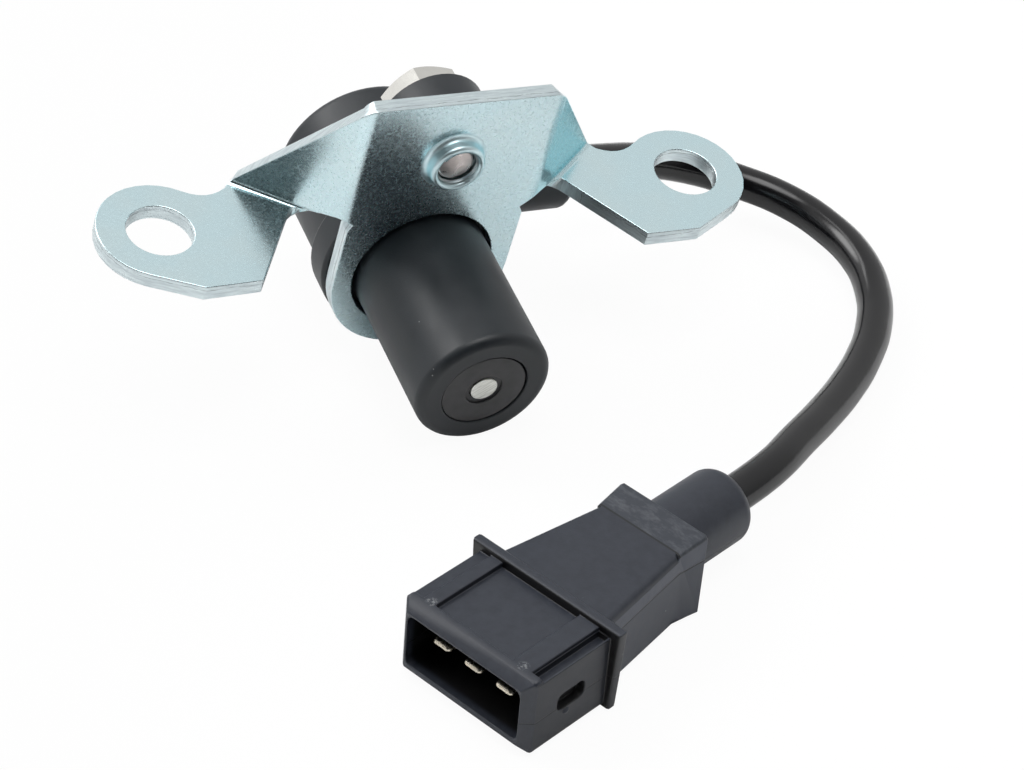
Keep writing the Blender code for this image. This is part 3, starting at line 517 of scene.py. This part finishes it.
def makeDull(name, base, shade, roughness, scale=700.0, metallic=0.0):
    material, tree, shader, place = startMaterial(name, metallic)
    clouds = noise(tree, place, scale, 3.0)
    tree.links.new(blendColours(tree, clouds, base, shade), shader.inputs["Base Color"])
    roughen(tree, shader, clouds, sweep["even"], roughness)
    addBump(tree, shader, clouds, strength=0.1, distance=relief["ripple"])
    return material


finishes = {
    "zinc": makeZinc("zincPlate", zincLook["roughness"]),
    "collarZinc": makeZinc("zincCollar", zincLook["collarRoughness"]),
    "sheared": makeSheared(),
    "moulded": makeMoulded(),
    "slate": makeSlate("connectorBlack", 5.2 * mm),
    # painted light: the rear sides as a lighter copy of the slate, lighter still above the parting
    # line
    "slateSideLit": makeSlate("connectorSideLit", 8.4 * mm, 1.4, draftedAndLit=True),
    # painted shade: the collar's ends as a darker copy of the slate
    "slatePaintedShade": makeSlate("connectorPaintedShade", 5.2 * mm, 0.35),
    # painted shade: the front shell's sides as a darker copy of the slate
    "slateFlankShaded": makeSlate("connectorFlankShaded", 5.2 * mm, 0.6),
    # painted shade: the mouth's walls, darker the deeper they lie
    "slateMouthShaded": makeSlate("connectorMouthShaded", 5.2 * mm, 0.9, shadedWithin=True),
    # painted shade: near black, darker than the slate, for the window recess and the faces in front
    # of the collar
    "inside": makeDull("paintedShadeBlack", (0.006, 0.006, 0.007), (0.004, 0.004, 0.005), (0.5, 0.6)),
    "cable": makeCableJacket(),
    "screw": makeMetal(
        "screwPlate",
        (0.80, 0.79, 0.75),
        (0.72, 0.71, 0.67),
        (0.05, 0.10),
        scale=500.0,
        strength=0.05,
    ),
    "screwEnd": makeMetal(
        "screwEnd",
        (0.86, 0.78, 0.75),
        (0.42, 0.38, 0.37),
        (0.22, 0.42),
        scale=800.0,
        strength=0.3,
    ),
    "sleeve": makeMetal("sleeveSteel", (0.72, 0.72, 0.70), (0.62, 0.62, 0.60), (0.2, 0.35)),
    "pole": makePin(),
    "tin": makeMetal(
        "tinnedBrass",
        (0.88, 0.84, 0.74),
        (0.70, 0.62, 0.46),
        (0.2, 0.36),
        scale=1500.0,
        strength=0.3,
    ),
    "copper": makeMetal("enamelledCopper", (0.62, 0.24, 0.09), (0.48, 0.16, 0.06), (0.2, 0.35)),
    "magnet": makeDull(
        "magnetGrey",
        (0.20, 0.20, 0.21),
        (0.15, 0.15, 0.16),
        (0.35, 0.5),
        scale=900.0,
        metallic=1.0,
    ),
    "spool": makeDull("spoolPlastic", (0.040, 0.040, 0.043), (0.030, 0.030, 0.032), (0.38, 0.5)),
    "seal": makeDull("sealRubber", (0.02, 0.02, 0.02), (0.014, 0.014, 0.014), (0.6, 0.75)),
    "coreBrown": makeDull("coreBrown", (0.16, 0.07, 0.03), (0.13, 0.055, 0.025), (0.35, 0.45)),
    "coreBlue": makeDull("coreBlue", (0.03, 0.08, 0.30), (0.025, 0.065, 0.25), (0.35, 0.45)),
    "coreWhite": makeDull("coreWhite", (0.70, 0.70, 0.68), (0.64, 0.64, 0.62), (0.35, 0.45)),
}
print("finishes made:", len(finishes))


# piece tools
mending = {"mergeReach": 0.000001, "flatAngle": math.radians(0.6)}


def finishPiece(name, bm, finish, nodes=(), sharp=38.0, others=()):
    mesh = bpy.data.meshes.new(name)
    bm.to_mesh(mesh)
    bm.free()
    mesh.shade_smooth()
    mesh.set_sharp_from_angle(angle=math.radians(sharp))
    for used in (finish, *others):
        mesh.materials.append(finishes[used])
    piece = bpy.data.objects.new(name, mesh)
    bpy.context.collection.objects.link(piece)
    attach(piece, "root")
    if nodes:
        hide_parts(*nodes)
    return piece


def solidCopy(node):
    bm = bmesh.new()
    bm.from_mesh(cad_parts[node].data)
    bmesh.ops.remove_doubles(bm, verts=bm.verts, dist=mending["mergeReach"])
    return bm


def soften(bm, width, segments=3, angle=28.0):
    # Edges rounded as a press or a mould leaves them.
    bmesh.ops.dissolve_limit(
        bm,
        angle_limit=mending["flatAngle"],
        verts=bm.verts,
        edges=bm.edges,
        delimit={"MATERIAL"},
    )
    edges = [e for e in bm.edges if e.is_manifold and e.calc_face_angle() > math.radians(angle)]
    bmesh.ops.bevel(
        bm,
        geom=edges,
        offset=width,
        segments=segments,
        profile=0.5,
        affect="EDGES",
        material=-1,
        clamp_overlap=False,
    )


def keepFlat(piece):
    weighted = piece.modifiers.new("flatFaces", "WEIGHTED_NORMAL")
    weighted.keep_sharp = True
    return piece


def lineSet(pairs):
    # Vertices and edges of an open or closed outline in the plane that is spun.
    bm = bmesh.new()
    verts = [bm.verts.new((radius, 0.0, height)) for radius, height in pairs]
    edges = [bm.edges.new(pair) for pair in zip(verts, verts[1:])]
    if pairs[0][0] > 0.0:
        edges.append(bm.edges.new((verts[-1], verts[0])))
    return bm, verts + edges


def spunPiece(name, profile, place, finish, nodes=(), steps=96, sharp=38.0):
    # Radius and height round +Z of the place's own axes; a profile off the axis is closed.
    bm, outline = lineSet(profile)
    bmesh.ops.spin(
        bm,
        geom=outline,
        cent=(0.0, 0.0, 0.0),
        axis=(0.0, 0.0, 1.0),
        angle=2 * math.pi,
        steps=steps,
        use_merge=True,
        use_duplicate=False,
    )
    bmesh.ops.remove_doubles(bm, verts=bm.verts, dist=mending["mergeReach"])
    bmesh.ops.recalc_face_normals(bm, faces=bm.faces)
    bmesh.ops.transform(bm, matrix=place, verts=bm.verts)
    return finishPiece(name, bm, finish, nodes, sharp)


def threadRidge(name, inner, crest, half, turns, pitch, place, finish, steps=36):
    # One ridge wound round +Z: it stands from the inner radius to the crest.
    top = half * screw["crestShare"]
    bm, outline = lineSet(((inner, -half), (crest, -top), (crest, top), (inner, half)))
    bmesh.ops.spin(
        bm,
        geom=outline,
        cent=(0.0, 0.0, 0.0),
        axis=(0.0, 0.0, 1.0),
        dvec=(0.0, 0.0, pitch / steps),
        angle=2 * math.pi * turns,
        steps=round(steps * turns),
        use_merge=False,
        use_duplicate=False,
    )
    bmesh.ops.holes_fill(bm, edges=bm.edges, sides=0)
    bmesh.ops.recalc_face_normals(bm, faces=bm.faces)
    bmesh.ops.transform(bm, matrix=place, verts=bm.verts)
    return finishPiece(name, bm, finish)


def arcPoints(middle, radius, start, end, count):
    points = []
    for i in range(count + 1):
        angle = math.radians(start + (end - start) * i / count)
        points.append((middle[0] + radius * math.cos(angle), middle[1] + radius * math.sin(angle)))
    return points


# cable
# Where the free cable runs, from the outlet round to the connector, in mm.
cable = {
    "route": (
        (22.5, 28.0, 12.3),
        (28.0, 32.0, 10.4),
        (34.8, 34.9, 8.2),
        (42.0, 35.4, 6.2),
        (49.2, 33.4, 4.9),
        (55.2, 28.9, 3.9),
        (59.4, 22.6, 3.3),
        (61.3, 15.0, 2.8),
        (61.0, 7.0, 2.6),
        (59.2, -0.6, 2.7),
        (56.5, -8.1, 3.2),
        (53.3, -15.4, 4.1),
        (49.8, -22.6, 5.2),
        (46.0, -30.0, 6.0),
    ),
    "radius": 2.5 * mm,
    "roundSteps": 7,
    "alongSteps": 10,
    "outletLevel": -16.4 * mm,
    "outletReach": 27.4 * mm,
    "outletMiddle": 19.7 * mm,
    "outletStart": 12.0 * mm,
    "neckSide": -0.3 * mm,
    "neckLevel": 6.1 * mm,
    "neckBack": -47.5 * mm,
    "neckMiddle": -39.9 * mm,
    "end": -32.3 * mm,
}


def makeCable():
    def inOutlet(reach):
        return probe @ Vector((reach, 0.0, cable["outletLevel"]))

    def inNeck(depth):
        return connector @ Vector((cable["neckSide"], cable["neckLevel"], depth))

    points = [inOutlet(cable[key]) for key in ("outletStart", "outletMiddle", "outletReach")]
    points += [Vector(point) * mm for point in cable["route"]]
    points += [inNeck(cable[key]) for key in ("neckBack", "neckMiddle", "end")]
    curve = bpy.data.curves.new("cableJacket", "CURVE")
    curve.dimensions = "3D"
    curve.bevel_depth = cable["radius"]
    curve.bevel_resolution = cable["roundSteps"]
    curve.resolution_u = cable["alongSteps"]
    curve.use_fill_caps = True
    spline = curve.splines.new("BEZIER")
    spline.bezier_points.add(len(points) - 1)
    for knot, point in zip(spline.bezier_points, points):
        knot.co = point
        knot.handle_left_type = "AUTO"
        knot.handle_right_type = "AUTO"
    curve.materials.append(finishes["cable"])
    piece = bpy.data.objects.new("cableJacket", curve)
    bpy.context.collection.objects.link(piece)
    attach(piece, "root")
    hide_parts("cable")
    length = spline.calc_length()
    print("cable jacket", round(length * 1000, 1), "mm")
    return piece, inOutlet(cable["outletReach"]), length


# studio
studio = {
    "floorSize": 3.0,
    "floorDrop": 0.0001,
    "floorRoughness": 0.8,
    "floorPale": 0.97,
    "floorShadeLeft": 0.78,  # painted shade: the floor darker to the left, where the webs mirror it
    "floorTurn": (-0.035, 0.01),
    "floorGlow": 0.95,
    "frontHorizon": 0.06,
    "backHorizon": 0.66,
    "horizonTurn": (-0.7, 0.7),
    "zenith": 0.72,
    "zenithHeight": 0.85,
    "darkSide": (0.12, -0.84, 0.53),  # where the photographer stands
    "darkReach": (0.52, 0.80),
    "darkLevel": 0.06,
    "brightSpots": (
        ((0.08, -0.14, 1.0), (0.94, 0.978), 4.4),  # the box overhead
        ((-0.80, 0.29, 0.53), (0.86, 0.955), 0.32),  # the wall at the left
        ((-0.71, 0.26, 0.68), (0.955, 0.986), 5.6),  # the small box on it
    ),
    "stripPlace": (-0.36, 0.52, 0.74),
    "stripSize": (0.14, 0.7),
    "stripPower": 0.8,
}


def makeFloor():
    bm = bmesh.new()
    bmesh.ops.create_grid(bm, x_segments=1, y_segments=1, size=studio["floorSize"])
    mesh = bpy.data.meshes.new("floor")
    bm.to_mesh(mesh)
    bm.free()
    floor = bpy.data.objects.new("floor", mesh)
    bpy.context.collection.objects.link(floor)
    floor.location.z = -studio["floorDrop"]
    material, tree, shader, place = startMaterial("floorPaperShaded")
    split = tree.nodes.new("ShaderNodeSeparateXYZ")
    tree.links.new(place, split.inputs["Vector"])
    ends = (studio["floorShadeLeft"], studio["floorPale"])
    shadedPaper = spread(tree, split.outputs["X"], *studio["floorTurn"], *ends)
    tree.links.new(shadedPaper, shader.inputs["Base Color"])
    shader.inputs["Roughness"].default_value = studio["floorRoughness"]
    glow = tree.nodes.new("ShaderNodeEmission")
    path = tree.nodes.new("ShaderNodeLightPath")
    mix = tree.nodes.new("ShaderNodeMixShader")
    share = combine(tree, "MULTIPLY", path.outputs["Is Camera Ray"], studio["floorGlow"])
    tree.links.new(share, mix.inputs["Fac"])
    tree.links.new(shader.outputs["BSDF"], mix.inputs[1])
    tree.links.new(glow.outputs["Emission"], mix.inputs[2])
    tree.links.new(mix.outputs["Shader"], tree.nodes["Material Output"].inputs["Surface"])
    mesh.materials.append(material)


def nearness(tree, heading, side):
    towards = tree.nodes.new("ShaderNodeVectorMath")
    towards.operation = "DOT_PRODUCT"
    towards.inputs[1].default_value = Vector(side).normalized()
    tree.links.new(heading, towards.inputs[0])
    return towards.outputs["Value"]


def makeTent():
    world = bpy.data.worlds.new("studio")
    bpy.context.scene.world = world
    world.use_nodes = True
    tree = world.node_tree
    background = tree.nodes["Background"]
    background.inputs["Color"].default_value = (1.0, 1.0, 1.0, 1.0)
    heading = tree.nodes.new("ShaderNodeTexCoord").outputs["Generated"]
    split = tree.nodes.new("ShaderNodeSeparateXYZ")
    tree.links.new(heading, split.inputs["Vector"])
    ends = (studio["frontHorizon"], studio["backHorizon"])
    horizon = spread(tree, split.outputs["Y"], *studio["horizonTurn"], *ends)
    height = spread(tree, split.outputs["Z"], 0.0, studio["zenithHeight"])
    rise = combine(tree, "MULTIPLY", combine(tree, "SUBTRACT", studio["zenith"], horizon), height)
    level = combine(tree, "ADD", horizon, rise)
    darkness = nearness(tree, heading, studio["darkSide"])
    shade = spread(tree, darkness, *studio["darkReach"], 1.0, studio["darkLevel"])
    level = combine(tree, "MULTIPLY", level, shade)
    for side, reach, strength in studio["brightSpots"]:
        shine = spread(tree, nearness(tree, heading, side), *reach, 0.0, strength)
        level = combine(tree, "ADD", level, shine)
    shown = tree.nodes.new("ShaderNodeLightPath").outputs["Is Camera Ray"]
    mix = tree.nodes.new("ShaderNodeMix")
    tree.links.new(shown, mix.inputs["Factor"])
    tree.links.new(level, mix.inputs["A"])
    mix.inputs["B"].default_value = 1.0
    tree.links.new(mix.outputs["Result"], background.inputs["Strength"])


def makeBackStrip():
    light = bpy.data.lights.new("backStrip", "AREA")
    light.shape = "RECTANGLE"
    light.size, light.size_y = studio["stripSize"]
    light.energy = studio["stripPower"]
    lamp = bpy.data.objects.new("backStrip", light)
    bpy.context.collection.objects.link(lamp)
    place = Vector(studio["stripPlace"])
    lamp.location = place
    lamp.rotation_euler = (-place).to_track_quat("-Z", "Y").to_euler()


def makeStudio():
    makeFloor()
    makeTent()
    makeBackStrip()
    bpy.context.scene.view_settings.view_transform = "Standard"


makeCamera()
cableJacket, cableExit, cableLength = makeCable()
makeStudio()
print("camera, cable and studio made")

# bracket
bracket = {
    "sheet": 2.2 * mm,
    "edge": 0.16 * mm,
    "rayStart": 0.01 * mm,
    "rayReach": 0.05,
    "throughShare": 1.35,  # a wall this much thicker than the sheet is looked at edge on
    "collarLevel": 19.5 * mm,
    "collarReach": 5.2 * mm,
    "lobeReach": 13.5 * mm,
    "uprightShare": 0.3,  # a face whose normal leans less than this along the probe is a rim
}


def makeBracketSheet():
    bm = solidCopy("bracket")
    inside = BVHTree.FromBMesh(bm)
    home = probe.inverted()
    for face in bm.faces:
        local = home @ face.calc_center_median()
        if math.hypot(local.x, local.y - bracket["collarLevel"]) < bracket["collarReach"]:
            face.material_index = 2
            continue
        start = face.calc_center_median() - face.normal * bracket["rayStart"]
        depth = inside.ray_cast(start, -face.normal, bracket["rayReach"])[3]
        isRim = abs((home.to_3x3() @ face.normal).z) < bracket["uprightShare"]
        onLobe = local.xy.length < bracket["lobeReach"] and isRim
        if onLobe or depth is None or depth > bracket["sheet"] * bracket["throughShare"]:
            face.material_index = 1
    soften(bm, bracket["edge"])
    piece = finishPiece(
        "bracketSheet",
        bm,
        "zinc",
        ["bracket"],
        others=["sheared", "collarZinc"],
    )
    return keepFlat(piece)


makeBracketSheet()
print("bracket dressed")

# sensor moulding
moulding = {
    "edge": 0.2 * mm,
    "bodyBack": -24.0 * mm,
    "coverRadius": 10.0 * mm,
    "coverRound": 0.35 * mm,
    "coverDepth": 3.0 * mm,
    "sealInner": 2.6 * mm,
    "sealOuter": 4.15 * mm,
    "sealFront": 27.2 * mm,
    "sealBack": 20.0 * mm,
    "sealRound": 0.25 * mm,
}


def makeHousing():
    bm = solidCopy("sensor_housing")
    soften(bm, moulding["edge"])
    nodes = ["sensor_housing"]
    return keepFlat(finishPiece("sensorHousing", bm, "moulded", nodes))


def makeCover():
    back, radius, turn = moulding["bodyBack"], moulding["coverRadius"], moulding["coverRound"]
    front = back + moulding["coverDepth"]
    edge = arcPoints((radius - turn, back + turn), turn, 0.0, -90.0, 5)
    profile = [(0.0, front), (radius, front), *edge, (0.0, back)]
    return spunPiece("rearCover", profile, probe, "moulded", ["rear_cover"])


def makeSeal():
    front, turn = moulding["sealFront"], moulding["sealRound"]
    inner, outer = moulding["sealInner"], moulding["sealOuter"]
    profile = [
        (inner, moulding["sealBack"]),
        (inner, front - turn),
        *arcPoints((inner + turn, front - turn), turn, 180.0, 90.0, 4),
        *arcPoints((outer - turn, front - turn), turn, 90.0, 0.0, 4),
        (outer, moulding["sealBack"]),
    ]
    place = probe @ Matrix.Translation((0.0, 0.0, cable["outletLevel"]))
    place = place @ Matrix.Rotation(math.pi / 2, 4, "Y")
    return spunPiece("cableSeal", profile, place, "seal", ["cable_seal"])


makeHousing()
makeCover()
makeSeal()

# coil carrier and pin, seen at the nose's end
coil = {
    "spigot": 5.76 * mm,
    "spigotFace": 22.22 * mm,
    "aside": -0.1 * mm,  # it sits a little to one side in its hole
    "recess": 2.5 * mm,
    "recessDepth": 0.3 * mm,
    "round": 0.12 * mm,
    "back": 12.0 * mm,
    "flange": 7.2 * mm,
    "flangeFace": 20.05 * mm,
    "pin": 1.85 * mm,
    "pinGap": 0.05 * mm,
    "pinFace": 22.12 * mm,
    "pinBack": 2.0 * mm,
    "pinEdge": 0.15 * mm,
}


def makeCoilCarrier():
    face, turn = coil["spigotFace"], coil["round"]
    bore = coil["pin"] + coil["pinGap"]
    profile = [
        (bore, coil["back"]),
        (bore, face - coil["recessDepth"]),
        (coil["recess"], face - coil["recessDepth"]),
        *arcPoints((coil["recess"] + turn, face - turn), turn, 180.0, 90.0, 4),
        *arcPoints((coil["spigot"] - turn, face - turn), turn, 90.0, 0.0, 4),
        (coil["spigot"], coil["flangeFace"]),
        (coil["flange"], coil["flangeFace"]),
        (coil["flange"], coil["back"]),
    ]
    place = probe @ Matrix.Translation((coil["aside"], 0.0, 0.0))
    return spunPiece("coilCarrier", profile, place, "spool", ["coil_bobbin"])


def makePolePin():
    face, edge = coil["pinFace"], coil["pinEdge"]
    corner = arcPoints((coil["pin"] - edge, face - edge), edge, 90.0, 0.0, 4)
    profile = [(0.0, face), *corner, (coil["pin"], coil["pinBack"]), (0.0, coil["pinBack"])]
    return spunPiece("polePin", profile, probe, "pole", ["pole_pin"])


makeCoilCarrier()
makePolePin()
print("sensor moulding, cover, seal and coil carrier made")

# screw
screw = {
    "level": 19.5 * mm,
    "turn": math.radians(52.0),
    "flats": 10.0 * mm,
    "ringShare": 0.9,  # beyond this share of the flats lie only the two rings of the head
    "crownShare": 0.9,
    "crownSlope": math.radians(30.0),
    "crownInner": 0.94,
    "seat": -8.7 * mm,
    "headBack": -12.7 * mm,
    "shank": 2.95 * mm,
    "shankEnd": -2.95 * mm,
    "end": 2.5 * mm,
    "endRound": 0.45 * mm,
    "endDepth": 0.7 * mm,  # how far down its tip the bare end reaches
    "steps": 144,
    "core": 2.42 * mm,
    "crest": 2.7 * mm,
    "ridgeHalf": 0.42 * mm,
    "crestShare": 0.12,
    "pitch": 1.0 * mm,
    "ridgeStart": -2.3 * mm,
    "ridgeTurns": 2.6,
    "tip": 0.9 * mm,
    "boreWall": 2.86 * mm,
    "boreCrest": 2.62 * mm,
    "boreStart": -1.8 * mm,
    "boreTurns": 3.4,
}


def hexagonReach(angle):
    # From the axis to the head's outline.
    sixth = math.pi / 3
    aside = (angle - screw["turn"]) % sixth - sixth / 2
    return screw["flats"] / 2 / math.cos(aside)


def squeezeHead(bm, crown):
    # The round head brought in to six flats, and its back edge sloped as a crown.
    seat, back = screw["seat"], screw["headBack"]
    slope = math.tan(screw["crownSlope"])
    for vert in bm.verts:
        away = math.hypot(vert.co.x, vert.co.y)
        if away > screw["flats"] * screw["ringShare"]:
            reach = hexagonReach(math.atan2(vert.co.y, vert.co.x))
            vert.co.x *= reach / away
            vert.co.y *= reach / away
            if vert.co.z < (seat + back) / 2:
                vert.co.z = back + (reach - crown) * slope


def makeScrew():
    tip, turn, end = screw["tip"], screw["endRound"], screw["end"]
    seat, back = screw["seat"], screw["headBack"]
    crown = screw["flats"] / 2 * screw["crownShare"]
    profile = [
        (0.0, tip),
        *arcPoints((end - turn, tip - turn), turn, 90.0, 0.0, 4),
        (end, screw["shankEnd"] + screw["shank"] - end),
        (screw["shank"], screw["shankEnd"]),
        (screw["shank"], seat),
        (screw["flats"], seat),
        (screw["flats"], back),
        (crown, back),
        (crown * screw["crownInner"], back),
        (0.0, back),
    ]
    bm, outline = lineSet(profile)
    toCorner = Matrix.Rotation(screw["turn"], 3, "Z")
    bmesh.ops.rotate(bm, verts=bm.verts, cent=(0.0, 0.0, 0.0), matrix=toCorner)
    bmesh.ops.spin(
        bm,
        geom=outline,
        cent=(0.0, 0.0, 0.0),
        axis=(0.0, 0.0, 1.0),
        angle=2 * math.pi,
        steps=screw["steps"],
        use_merge=True,
        use_duplicate=False,
    )
    bmesh.ops.remove_doubles(bm, verts=bm.verts, dist=mending["mergeReach"])
    squeezeHead(bm, crown)
    bmesh.ops.recalc_face_normals(bm, faces=bm.faces)
    for face in bm.faces:
        if face.calc_center_median().z > tip - screw["endDepth"]:
            face.material_index = 1
    place = probe @ Matrix.Translation((0.0, screw["level"], 0.0))
    bmesh.ops.transform(bm, matrix=place, verts=bm.verts)
    piece = finishPiece(
        "fixingScrew",
        bm,
        "screw",
        ["fixing_screw"],
        sharp=42.0,
        others=["screwEnd"],
    )
    return keepFlat(piece)


def makeThreads():
    place = probe @ Matrix.Translation((0.0, screw["level"], 0.0))
    onScrew = place @ Matrix.Translation((0.0, 0.0, screw["ridgeStart"]))
    inBore = place @ Matrix.Translation((0.0, 0.0, screw["boreStart"]))
    threadRidge(
        "screwThread",
        screw["core"],
        screw["crest"],
        screw["ridgeHalf"],
        screw["ridgeTurns"],
        screw["pitch"],
        onScrew,
        "screwEnd",
    )
    threadRidge(
        "collarThread",
        screw["boreWall"],
        screw["boreCrest"],
        screw["ridgeHalf"],
        screw["boreTurns"],
        screw["pitch"],
        inBore,
        "sheared",
    )


makeScrew()
makeThreads()
print("screw and threads made")

# connector
plug = {
    "edge": 0.16 * mm,
    "leastAngle": 50.0,
    # how squarely a face looks up, ahead or aside
    "upShare": 0.95,
    "aheadShare": 0.7,
    "asideShare": 0.8,
    "window": ((9.0 * mm, 10.2 * mm), (4.6 * mm, 8.4 * mm), (-10.5 * mm, -3.0 * mm)),
    "ledge": (10.9 * mm, 8.6 * mm),
    "ledgeSlack": 0.05 * mm,
    "groove": (0.16 * mm, 0.8 * mm),
    "grooveDraft": 0.01 * mm,
    "rimFront": -13.3 * mm,
    "rimReach": 11.0 * mm,
    "rimBack": -15.2 * mm,
    "mouth": (8.95 * mm, 2.3 * mm, 9.7 * mm),
    "mouthStart": -0.2 * mm,
    "mouthEnd": -14.6 * mm,
    "mouthSlack": 0.05 * mm,
    "bladeEdge": 0.2 * mm,
    "bladeAngle": 35.0,
    "pip": (10.35 * mm, 3.9 * mm, -6.7 * mm),
    "pipSize": (0.35 * mm, 0.4 * mm, 0.55 * mm),
    "neckRadius": 5.05 * mm,
    "neckRound": 1.75 * mm,
    "neckFront": -35.1 * mm,
    "neckBack": -47.5 * mm,
    "neckBore": 2.52 * mm,
    "neckLip": 0.3 * mm,
    "spigot": 4.4 * mm,
    "spigotLength": 3.5 * mm,
}


def cutGrooves(bm, home):
    # A groove along the right side of the top, outside the rail.
    flat = mending["flatAngle"]
    bmesh.ops.dissolve_limit(bm, angle_limit=flat, verts=bm.verts, edges=bm.edges)
    level, reach = plug["ledge"]
    ledges = []
    for face in bm.faces:
        middle = home @ face.calc_center_median()
        onLedge = middle.x > reach and abs(middle.y - level) < plug["ledgeSlack"]
        if face.normal.z > plug["upShare"] and onLedge:
            ledges.append(face)
    rim, depth = plug["groove"]
    bmesh.ops.inset_individual(bm, faces=ledges, thickness=rim, depth=0.0)
    bmesh.ops.inset_individual(bm, faces=ledges, thickness=plug["grooveDraft"], depth=-depth)
    print("grooves cut:", len(ledges))


def isWithin(middle):
    half, floorLevel, ceiling = plug["mouth"]
    slack = plug["mouthSlack"]
    return abs(middle.x) < half + slack and floorLevel - slack < middle.y < ceiling + slack


def isWindow(middle):
    place = (abs(middle.x), middle.y, middle.z)
    return all(low < value < high for value, (low, high) in zip(place, plug["window"]))


def shellFinish(middle, normal):
    # Which finish a face of the shell takes: the mouth with painted shade deeper in, painted-shade
    # black in the window and in front of the collar, the rear sides with painted light, the
    # collar's ends and the flanks with painted shade.
    looksAhead = normal.z > plug["aheadShare"]
    looksAside = abs(normal.x) > plug["asideShare"]
    if isWithin(middle) and plug["mouthEnd"] < middle.z < plug["mouthStart"]:
        return 1
    if isWindow(middle) or (looksAhead and middle.z < plug["rimFront"]):
        return 2
    if looksAside and middle.z < plug["rimBack"]:
        return 3
    if abs(middle.x) > plug["rimReach"] and middle.z < plug["rimFront"]:
        return 4
    if looksAside and middle.z > plug["rimFront"]:
        return 5
    return 0


def makeConnectorShell():
    bm = solidCopy("connector_housing")
    home = connector.inverted()
    cutGrooves(bm, home)
    for face in bm.faces:
        middle = home @ face.calc_center_median()
        face.material_index = shellFinish(middle, home.to_3x3() @ face.normal)
    soften(bm, plug["edge"], 3, plug["leastAngle"])
    piece = finishPiece(
        "connectorShell",
        bm,
        "slate",
        ["connector_housing"],
        sharp=50.0,
        others=["slateMouthShaded", "inside", "slateSideLit", "slatePaintedShade", "slateFlankShaded"],
    )
    return keepFlat(piece)


def makePips():
    # A low round pip under the window on each side.
    pips = []
    for side, name in ((-1, "leftPip"), (1, "rightPip")):
        bm = bmesh.new()
        bmesh.ops.create_uvsphere(bm, u_segments=24, v_segments=12, radius=1.0)
        bmesh.ops.scale(bm, vec=plug["pipSize"], verts=bm.verts)
        x, y, z = plug["pip"]
        place = connector @ Matrix.Translation((side * x, y, z))
        bmesh.ops.transform(bm, matrix=place, verts=bm.verts)
        pips.append(finishPiece(name, bm, "slate"))
    return pips


def makeNeck():
    front, back = plug["neckFront"], plug["neckBack"]
    radius, turn = plug["neckRadius"], plug["neckRound"]
    bore, lip = plug["neckBore"], plug["neckLip"]
    profile = [
        (bore, front + plug["spigotLength"]),
        (plug["spigot"], front + plug["spigotLength"]),
        (plug["spigot"], front),
        (radius, front),
        *arcPoints((radius - turn, back + turn), turn, 0.0, -90.0, 10),
        *arcPoints((bore + lip, back + lip), lip, -90.0, -180.0, 4),
    ]
    place = connector @ Matrix.Translation((cable["neckSide"], cable["neckLevel"], 0.0))
    return spunPiece("neckSleeve", profile, place, "slate", ["neck_sleeve"])


def makeBlade(number):
    bm = solidCopy(f"contact_blade_{number}")
    soften(bm, plug["bladeEdge"], 3, plug["bladeAngle"])
    nodes = [f"contact_blade_{number}"]
    return keepFlat(finishPiece(f"contactBlade{number}", bm, "tin", nodes))


connectorShell = makeConnectorShell()
pips = makePips()
neckSleeve = makeNeck()
blades = [makeBlade(number) for number in (1, 2, 3)]
print("connector, neck and blades made")

# the solids shown as they are
carried = {
    "lug_sleeve": "sleeve",
    "coil_tab_left": "tin",
    "coil_tab_right": "tin",
    "coil_winding": "copper",
    "magnet": "magnet",
    "signal_core_left": "coreBrown",
    "signal_core_right": "coreBlue",
    # the carrier's own black, deepened by painted shade
    "contact_carrier": "inside",
    "connector_core_1": "coreBrown",
    "connector_core_2": "coreBlue",
    "connector_core_3": "coreWhite",
}
for node, finish in carried.items():
    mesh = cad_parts[node].data
    mesh.materials.clear()
    mesh.materials.append(finishes[finish])
